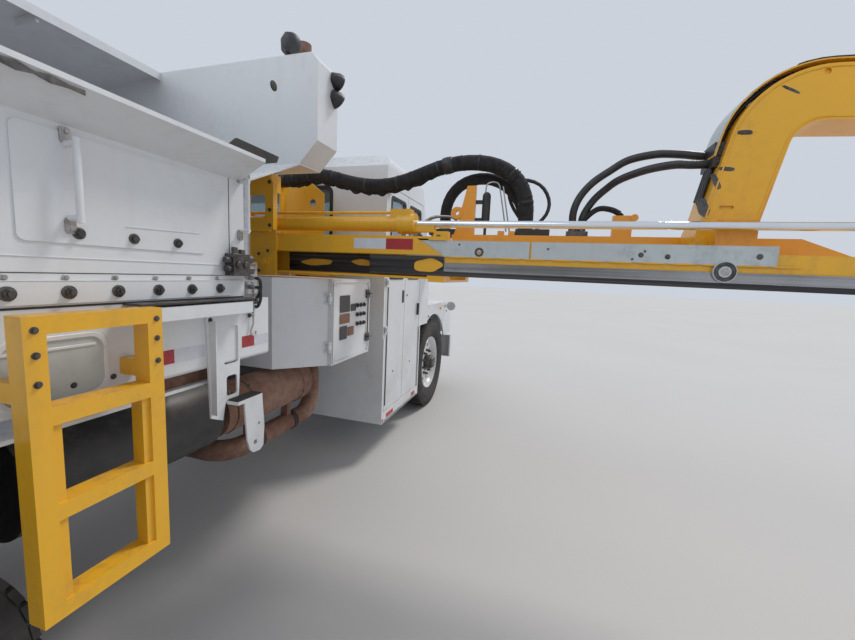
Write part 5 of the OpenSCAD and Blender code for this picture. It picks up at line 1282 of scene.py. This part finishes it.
def add_underbody():
    """Springs, axle clamps, brake chambers and drive shafts under the chassis."""
    springs, clamps, chambers, shaft = Shape(), Shape(), Shape(), Shape()
    for side in (1, -1):
        y = side * 0.4775
        y0, y1 = y - 0.034, y + 0.034
        for k in range(5):
            reach = 0.52 - 0.085 * k
            springs.box(-reach, reach, y0, y1, 0.583 + 0.0115 * k, 0.583 + 0.0115 * k + 0.0095)
        for x in (-0.075, 0.075):
            for dy in (-0.043, 0.043):
                clamps.rod((x, y + dy, 0.452), (x, y + dy, 0.665), 0.009, 12)
                clamps.disc((x, y + dy, 0.446), DOWN, 0.016, 0.014, 6)
            clamps.rod((x, y - 0.043, 0.665), (x, y + 0.043, 0.665), 0.009, 12)
        clamps.box(-0.095, 0.095, y - 0.055, y + 0.055, 0.642, 0.656)
        for x in REAR_AXLES:
            px = x + 0.19
            chambers.lathe((px, side * 0.56, 0.64), (0.25, 0, 1), [(0.0, 0.0), (0.0, 0.07), (0.02, 0.082),
                           (0.06, 0.082), (0.065, 0.09), (0.075, 0.09), (0.08, 0.082), (0.15, 0.08),
                           (0.17, 0.06), (0.17, 0.0)], 28)
            chambers.rod((px - 0.02, side * 0.56, 0.56), (px, side * 0.56, 0.645), 0.012, 10)
            for bolt_x in steps(x - 0.09, 0.09, 3):
                clamps.rod((bolt_x, side * 0.375, 0.6), (bolt_x, side * 0.375, 0.46), 0.01, 10)
    for x in REAR_AXLES:
        shaft.lathe((x + 0.19, 0, WHEEL_Z), AHEAD, [(0.0, 0.0), (0.0, 0.095), (0.06, 0.075), (0.1, 0.06),
                                                      (0.12, 0.085), (0.135, 0.085), (0.135, 0.0)], 28)
        shaft.disc((x - 0.195, 0, WHEEL_Z), BACK, 0.12, 0.03, 28, 0.02)
        for a, b in ring_points(0.105, 10):
            shaft.bolt((x - 0.222, a, WHEEL_Z + b), BACK, 0.009, 0.008)
    shaft.rod((-4.065, 0, WHEEL_Z), (-2.3, 0, 0.66), 0.045, 24)
    shaft.rod((-2.28, 0, 0.661), (-0.34, 0, 0.722), 0.045, 24)
    shaft.rod((-5.385, 0, WHEEL_Z), (-4.6, 0, WHEEL_Z), 0.04, 24)
    shaft.collar((-2.33, 0, 0.658), (1, 0, 0.05), 0.0, 0.05, 0.0, 0.062, 24)
    for x, z in ((-4.06, 0.528), (-0.4, 0.72), (-5.39, 0.5275), (-4.6, 0.5275)):
        shaft.collar((x - 0.03, 0, z), AHEAD, 0.0, 0.06, 0.0, 0.058, 24)
    springs.piece("front_spring_leaves", DARK_STEEL, 0, slot="black_paint")
    clamps.piece("axle_clamps", DARK_STEEL, 40)
    chambers.piece("brake_chambers", BLACK_PAINT, 40)
    shaft.piece("drive_shafts", DARK_STEEL, 40)


def add_chassis_lines():
    """Lines along the rails and to the brake chambers; the rows of holes in the rails, drawn as dark discs
    of painted shade.
    """
    lines = Shape()
    route = ((-7.3, 0.985), (-6.2, 0.985), (-5.0, 0.987), (-3.9, 0.984), (-2.6, 0.986), (-1.2, 0.985),
             (-0.5, 0.985))
    for side in (1, -1):
        for y, drop, r in ((0.345, 0.0, 0.008), (0.323, 0.003, 0.006)):
            lines.sweep(smooth_route([(x, side * y, z - drop) for x, z in route], 3), r, 8)
    for side in (1, -1):
        for x in REAR_AXLES:
            lines.sweep(smooth_route([(x + 0.24, side * 0.56, 0.79), (x + 0.25, side * 0.53, 0.87),
                                      (x + 0.22, side * 0.47, 0.93), (x + 0.1, side * 0.36, 0.97)], 5),
                        0.008, 8)
    lines.piece("chassis_lines", HOSE, 50)

    holes = Shape()
    # dark discs stand for the holes: painted shade inside them
    for side in (1, -1):
        for x in steps(-7.35, 0.22, 37):
            for z in (0.8, 0.94):
                holes.disc((x, side * 0.4305, z), (0, side, 0), 0.01, 0.0015, 14)
    holes.piece("frame_hole_shade", RUBBER, 40, slot="black_paint")


def add_tank_details():
    """Fuel cap, seams of the exhaust, straps of the air canister."""
    cap, exhaust, canister = Shape(), Shape(), Shape()
    x, y = -2.15, 0.752
    cap.disc((x, y, 1.018), UP, 0.052, 0.03, 32, 0.006)
    for a, b in ring_points(0.05, 12):
        cap.box(x + a - 0.005, x + a + 0.005, y + b - 0.005, y + b + 0.005, 1.024, 1.046)
    cap.piece("fuel_cap", PLASTIC, 40)
    for x in (-2.9, -2.78, -2.3):
        exhaust.collar((x, -0.85, 0.835), AHEAD, -0.004, 0.004, 0.134, 0.1365, 48)
    exhaust.box(-2.94, -2.25, -0.852, -0.848, 0.6985, 0.7015)
    for x, y, z, axis in ((-2.62, -0.85, 0.56, AHEAD), (-2.3, -0.85, 0.56, AHEAD),
                          (-1.66, -0.5, 1.2, UP), (-1.66, -0.5, 2.6, UP),
                          (-2.85, -0.5, 0.56, LEFT)):
        exhaust.lathe((x, y, z), axis, [(-0.02, 0.057), (-0.02, 0.0625), (-0.014, 0.0625),
                                        (-0.013, 0.0605), (0.013, 0.0605), (0.014, 0.0625),
                                        (0.02, 0.0625), (0.02, 0.057)], 36)
    exhaust.piece("exhaust_seams", SOOT, 40)
    for x in (-3.62, -3.39, -3.16):
        canister.collar((x, -0.715, 0.86), AHEAD, -0.018, 0.018, 0.188, 0.1925, 48)
    canister.piece("canister_straps", STEEL, 40)


def add_arm_frame_details():
    """Bolts on the arm's fixed frame."""
    bolts = Shape()
    bolts.bolts([-2.5255], (-0.875, -0.625), (1.85, 1.94, 2.1), BACK, 0.008, 0.007)
    for y, z in ((-0.8, 1.58), (-0.8, 1.68), (-0.865, 1.7)):
        bolts.bolt((-2.5305, y, z), BACK, 0.007, 0.006)
    bolts.piece("arm_frame_bolts", DARK_STEEL, 40)


def add_valve_details():
    """Fittings and small hoses at the valve block on the hopper's right front corner."""
    fittings, hoses, dark = Shape(), Shape(), Shape()
    for z in (1.51, 1.55, 1.59):
        fittings.rod((-3.065, -1.211, z), (-3.065, -1.232, z), 0.011, 6)
        fittings.rod((-3.065, -1.232, z), (-3.065, -1.243, z), 0.007, 12)
    fittings.box(-3.1, -3.03, -1.2135, -1.209, 1.602, 1.614)
    fittings.piece("valve_fittings", STEEL, 40)
    y = -1.246
    dark.box(-3.215, -3.125, y - 0.02, SIDE + 0.0005, 1.56, 1.65)
    for x0, x1, z, r in ((-3.125, -3.095, 1.63, 0.017), (-3.125, -3.095, 1.585, 0.02),
                         (-3.215, -3.242, 1.622, 0.014), (-3.215, -3.236, 1.588, 0.016)):
        dark.rod((x0, y, z), (x1, y, z), r, 6)
    dark.rod((-3.19, y, 1.65), (-3.19, y, 1.676), 0.012, 12)
    dark.rod((-3.152, y, 1.65), (-3.152, y, 1.668), 0.015, 6)
    for x in (-3.19, -3.15):
        dark.disc((x, y - 0.02, 1.605), RIGHT, 0.014, 0.008, 16)
    dark.piece("valve_dark_fittings", DARK_STEEL, 40, 0.0015, slot="black_paint")
    for z in (1.51, 1.55):
        hoses.sweep(smooth_route([(-3.065, -1.241, z), (-3.065, -1.262, z - 0.006), (-3.06, -1.262,
                                  z - 0.05), (-3.05, -1.232, z - 0.09), (-3.045, -1.19, 1.44)], 5),
                    0.007, 10)
    hoses.piece("valve_hoses", HOSE, 50)


def add_cab_inside():
    """Two steering wheels, the driver's seat and the gauges, seen through the cab's glass."""
    wheels, seats, dash = Shape(), Shape(), Shape()
    for y in (0.5, -0.5):
        centre = Vector((-0.72, y, 1.64))
        axis = Vector((-0.75, 0, 0.66)).normalized()
        ref = Vector(LEFT)
        other = axis.cross(ref)
        ring = [centre + 0.21 * (math.cos(t) * ref + math.sin(t) * other)
                for t in angles(36) + [2 * math.pi]]
        wheels.sweep(ring, 0.013, 10)
        for t in (math.radians(90), math.radians(210), math.radians(330)):
            wheels.rod(centre - axis * 0.02, centre + 0.205 * (math.cos(t) * ref + math.sin(t) * other),
                       0.009, 8)
        wheels.disc(centre - axis * 0.04, axis, 0.045, 0.03, 24)
        wheels.rod(centre - axis * 0.03, centre - axis * 0.26, 0.028, 14)
    wheels.piece("steering_wheels", PLASTIC, 50, slot="dark_plastic")
    profile = [(-1.395, 1.6), (-1.25, 1.6), (-1.29, 2.08), (-1.32, 2.13), (-1.375, 2.13),
               (-1.398, 2.08)]
    seats.prism(profile, "y", 0.28, 0.72)
    seats.prism([(-1.24, 1.601), (-0.96, 1.601), (-0.955, 1.64), (-0.99, 1.675), (-1.24, 1.665)],
                "y", 0.27, 0.73)
    seats.prism([(x - 0.01, z + 0.16) for x, z in ((-1.375, 2.0), (-1.3, 2.0), (-1.31, 2.13),
                                                  (-1.37, 2.13))], "y", 0.4, 0.6)
    seats.piece("driver_seat", SEAT, 30, 0.02)
    for y in (0.3, 0.42, 0.54, 0.66, -0.3, -0.42):
        dash.lathe((-0.5605, y, 1.47), BACK, [(0.0, 0.0), (0.0, 0.04), (0.01, 0.04),
                                                     (0.01, 0.034), (0.004, 0.033), (0.004, 0.0)], 24)
    dash.piece("dash_gauges", BLANK_DARK, 40, slot="dark_plastic")


# Neck: its pin, the corners of its middle line from the pin, and its face toward the hopper

PIVOT_Y, PIVOT_Z = -3.28, 1.85
NECK_FACE = -2.2556, -2.254
KNEE, SHOULDER, END = Vector((0.13, 0.64)), Vector((0.95, 0.6)), Vector((1.13, -0.64))


def neck_line(off, parts=10):
    """Points (y, z) along the curved neck, moved outward from its middle line."""
    def corner(a, b, c, r):
        one, two = (a - b).normalized(), (c - b).normalized()
        half = math.acos(one.dot(two)) / 2
        reach = r / math.tan(half)
        centre = b + (one + two).normalized() * (r / math.sin(half))
        start = b + one * reach - centre
        end = b + two * reach - centre
        a0 = math.atan2(start.y, start.x)
        a1 = math.atan2(end.y, end.x)
        if a1 > a0:
            a1 -= 2 * math.pi
        return [centre + (r + off) * Vector((math.cos(t), math.sin(t)))
                for t in (a0 + (a1 - a0) * k / parts for k in range(parts + 1))]
    side = Vector((-KNEE.y, KNEE.x)).normalized() * off
    last = (END - SHOULDER).normalized()
    line = [side] + corner(Vector((0, 0)), KNEE, SHOULDER, 0.24) + corner(KNEE, SHOULDER, END, 0.32)
    line.append(END + Vector((-last.y, last.x)) * off)
    return [(PIVOT_Y - p.x, PIVOT_Z + p.y) for p in line]


def between(line, start, end):
    """The stretch of a line of (y, z) points between two distances along it."""
    out = []
    gone = 0.0
    for a, b in zip(line, line[1:]):
        a, b = Vector(a), Vector(b)
        size = (b - a).length
        parts = max(2, int(size / 0.03))
        for k in range(parts):
            at = gone + size * k / parts
            if start <= at <= end:
                out.append(a.lerp(b, k / parts))
        gone += size
    return out


def add_neck_lines():
    """Hoses along the neck with the guard sheet and belt over them, and a strip of painted shade along its
    edge.
    """
    hoses = Shape()
    for x in (-2.175, -2.145, -2.115):
        path = [(x, p.x, p.y) for p in between(neck_line(0.1175 + 0.0135), 0.14, 2.2)]
        hoses.sweep(path, 0.0115, 12)
    hoses.piece("neck_hoses", HOSE, 50, body="lift_arm")
    guard, belt = Shape(), Shape()
    face = neck_line(0.1175 + 0.0345)
    band(guard, between(face, 0.36, 0.92), -0.0015, -2.23, -2.06)
    band(belt, between(face, 0.86, 1.75), -0.006, -2.231, -2.059)
    guard.piece("neck_guard_sheet", GUARD_GREY, 60, body="lift_arm")
    belt.piece("neck_guard_belt", RUBBER, 60, body="lift_arm")

    # a band of the yellow paint's shaded copy along the neck's inner edge by the pin: painted shade
    strip = Shape()
    low = between(neck_line(-0.1175), 0.02, 0.26)
    strip.prism([(p.x, p.y) for p in low] + [(p.x + 0.013, p.y) for p in reversed(low)], "x",
                *NECK_FACE)
    strip.piece("neck_edge_painted_shade", SHADED_YELLOW, 0, body="lift_arm")


def add_neck_marks():
    """Scuffs on the neck's face, the cap of its pin and the welds along its edges."""
    scuffs = Shape()
    rnd = random.Random(12)
    for y, z, long, wide, turn in ((-3.306, 2.325, 0.032, 0.011, 0.05), (-3.252, 2.163, 0.034, 0.01, 0.1),
                                   (-3.215, 2.105, 0.042, 0.014, 1.1), (-3.175, 1.985, 0.046, 0.025, 1.15),
                                   (-3.46, 2.5, 0.04, 0.006, 0.5), (-4.15, 2.41, 0.05, 0.01, 0.2),
                                   (-4.34, 1.95, 0.045, 0.012, 1.5)):
        points = []
        for t in angles(28):
            s = 0.88 + 0.16 * rnd.random()
            c, d = math.cos(t), math.sin(t)
            u = long * s * math.copysign(abs(c) ** 0.6, c)
            v = wide * s * math.copysign(abs(d) ** 0.6, d)
            points.append((y + u * math.cos(turn) - v * math.sin(turn),
                           z + u * math.sin(turn) + v * math.cos(turn)))
        scuffs.prism(points, "x", *NECK_FACE)
    scuffs.piece("neck_scuffs", DARK_STEEL, 0, body="lift_arm")

    pin = Shape()
    pin.disc((-2.2555, PIVOT_Y, PIVOT_Z), BACK, 0.06, 0.01, 36)
    for a, b in ring_points(0.043, 6):
        pin.bolt((-2.265, PIVOT_Y + a, PIVOT_Z + b), BACK, 0.006, 0.005)
    pin.rod((-2.264, PIVOT_Y, PIVOT_Z), (-2.272, PIVOT_Y, PIVOT_Z), 0.009, 12)
    pin.piece("neck_pin_cap", DARK_STEEL, 40, body="lift_arm")

    welds = Shape()
    for off in (0.104, -0.104):
        line = [(-2.255, p.x, p.y) for p in between(neck_line(off), 0.05, 2.75)]
        welds.sweep(line, 0.0042, 6)
    welds.piece("neck_welds", YELLOW, 60, body="lift_arm")


def add_grip_details():
    """Bolts and pin ends on the gripper beam."""
    bolts = Shape()
    bolts.bolts((-3.42, -3.2, -3.00, -2.8, -2.58), [-4.4905], [1.13], LEFT, 0.009, 0.008)
    for x in (-2.62, -3.38):
        for z in (1.053, 1.208):
            bolts.disc((x, -4.5655, z), (0, 0, 1 if z > 1.1 else -1), 0.03, 0.01, 24)
    bolts.piece("grip_bolts", DARK_STEEL, 40, body="lift_arm")


for add in (add_cords, add_wheels, add_neck_hoses, add_side_bolts, add_side_seams, add_skirt_marks,
            add_hook_chain, add_shield_marks, add_step_details, add_boom_details, add_hose_ends,
            add_slide_marks, add_sleeve_fringe, add_carriage_lines, add_neck_details, add_neck_lines,
            add_neck_marks, add_grip_details, add_screen, add_roof_lamps, add_rear_window_seal,
            add_cab_inside, add_doors, add_entry_details, add_cabinet, add_hood_details,
            add_front_details, add_mirror_details, add_shield_lamps, add_rear_details, add_tailgate,
            add_underbody, add_chassis_lines, add_tank_details, add_arm_frame_details,
            add_valve_details):
    add()


# Floor, backdrop and light

def add_stage():
    mesh = bpy.data.meshes.new("floor")
    size = 60
    mesh.from_pydata([(-size, -size, 0), (size, -size, 0), (size, size, 0), (-size, size, 0)], [],
                     [(0, 1, 2, 3)])
    floor = bpy.data.objects.new("floor", mesh)
    bpy.context.scene.collection.objects.link(floor)
    n = Nodes("floor")
    n.link(n.mix(n.ramp(n.noise(0.35, 3, 0.5), 0.3, 0.7), (0.5, 0.49, 0.48), (0.515, 0.505, 0.495)),
           n.shader.inputs["Base Color"])
    n.shader.inputs["Roughness"].default_value = 0.9
    mesh.materials.append(n.mat)


def add_world():
    world = bpy.data.worlds.new("studio")
    bpy.context.scene.world = world
    world.use_nodes = True
    tree = world.node_tree
    out = tree.nodes["Background"]
    out.inputs["Color"].default_value = (0.8, 0.86, 0.95, 1)
    out.inputs["Strength"].default_value = 0.75


def add_sun(name, strength, azimuth, height, spread, colour):
    data = bpy.data.lights.new(name, "SUN")
    data.energy = strength
    data.angle = math.radians(spread)
    data.color = colour
    light = bpy.data.objects.new(name, data)
    light.rotation_euler = (math.radians(90 - height), 0, math.radians(azimuth + 90))
    bpy.context.scene.collection.objects.link(light)


add_stage()
add_world()
add_sun("key", 1.7, -35, 52, 14, (1.0, 0.96, 0.9))
add_sun("fill", 0.6, 150, 40, 50, (0.95, 0.97, 1.0))
bpy.context.scene.view_settings.view_transform = "Standard"
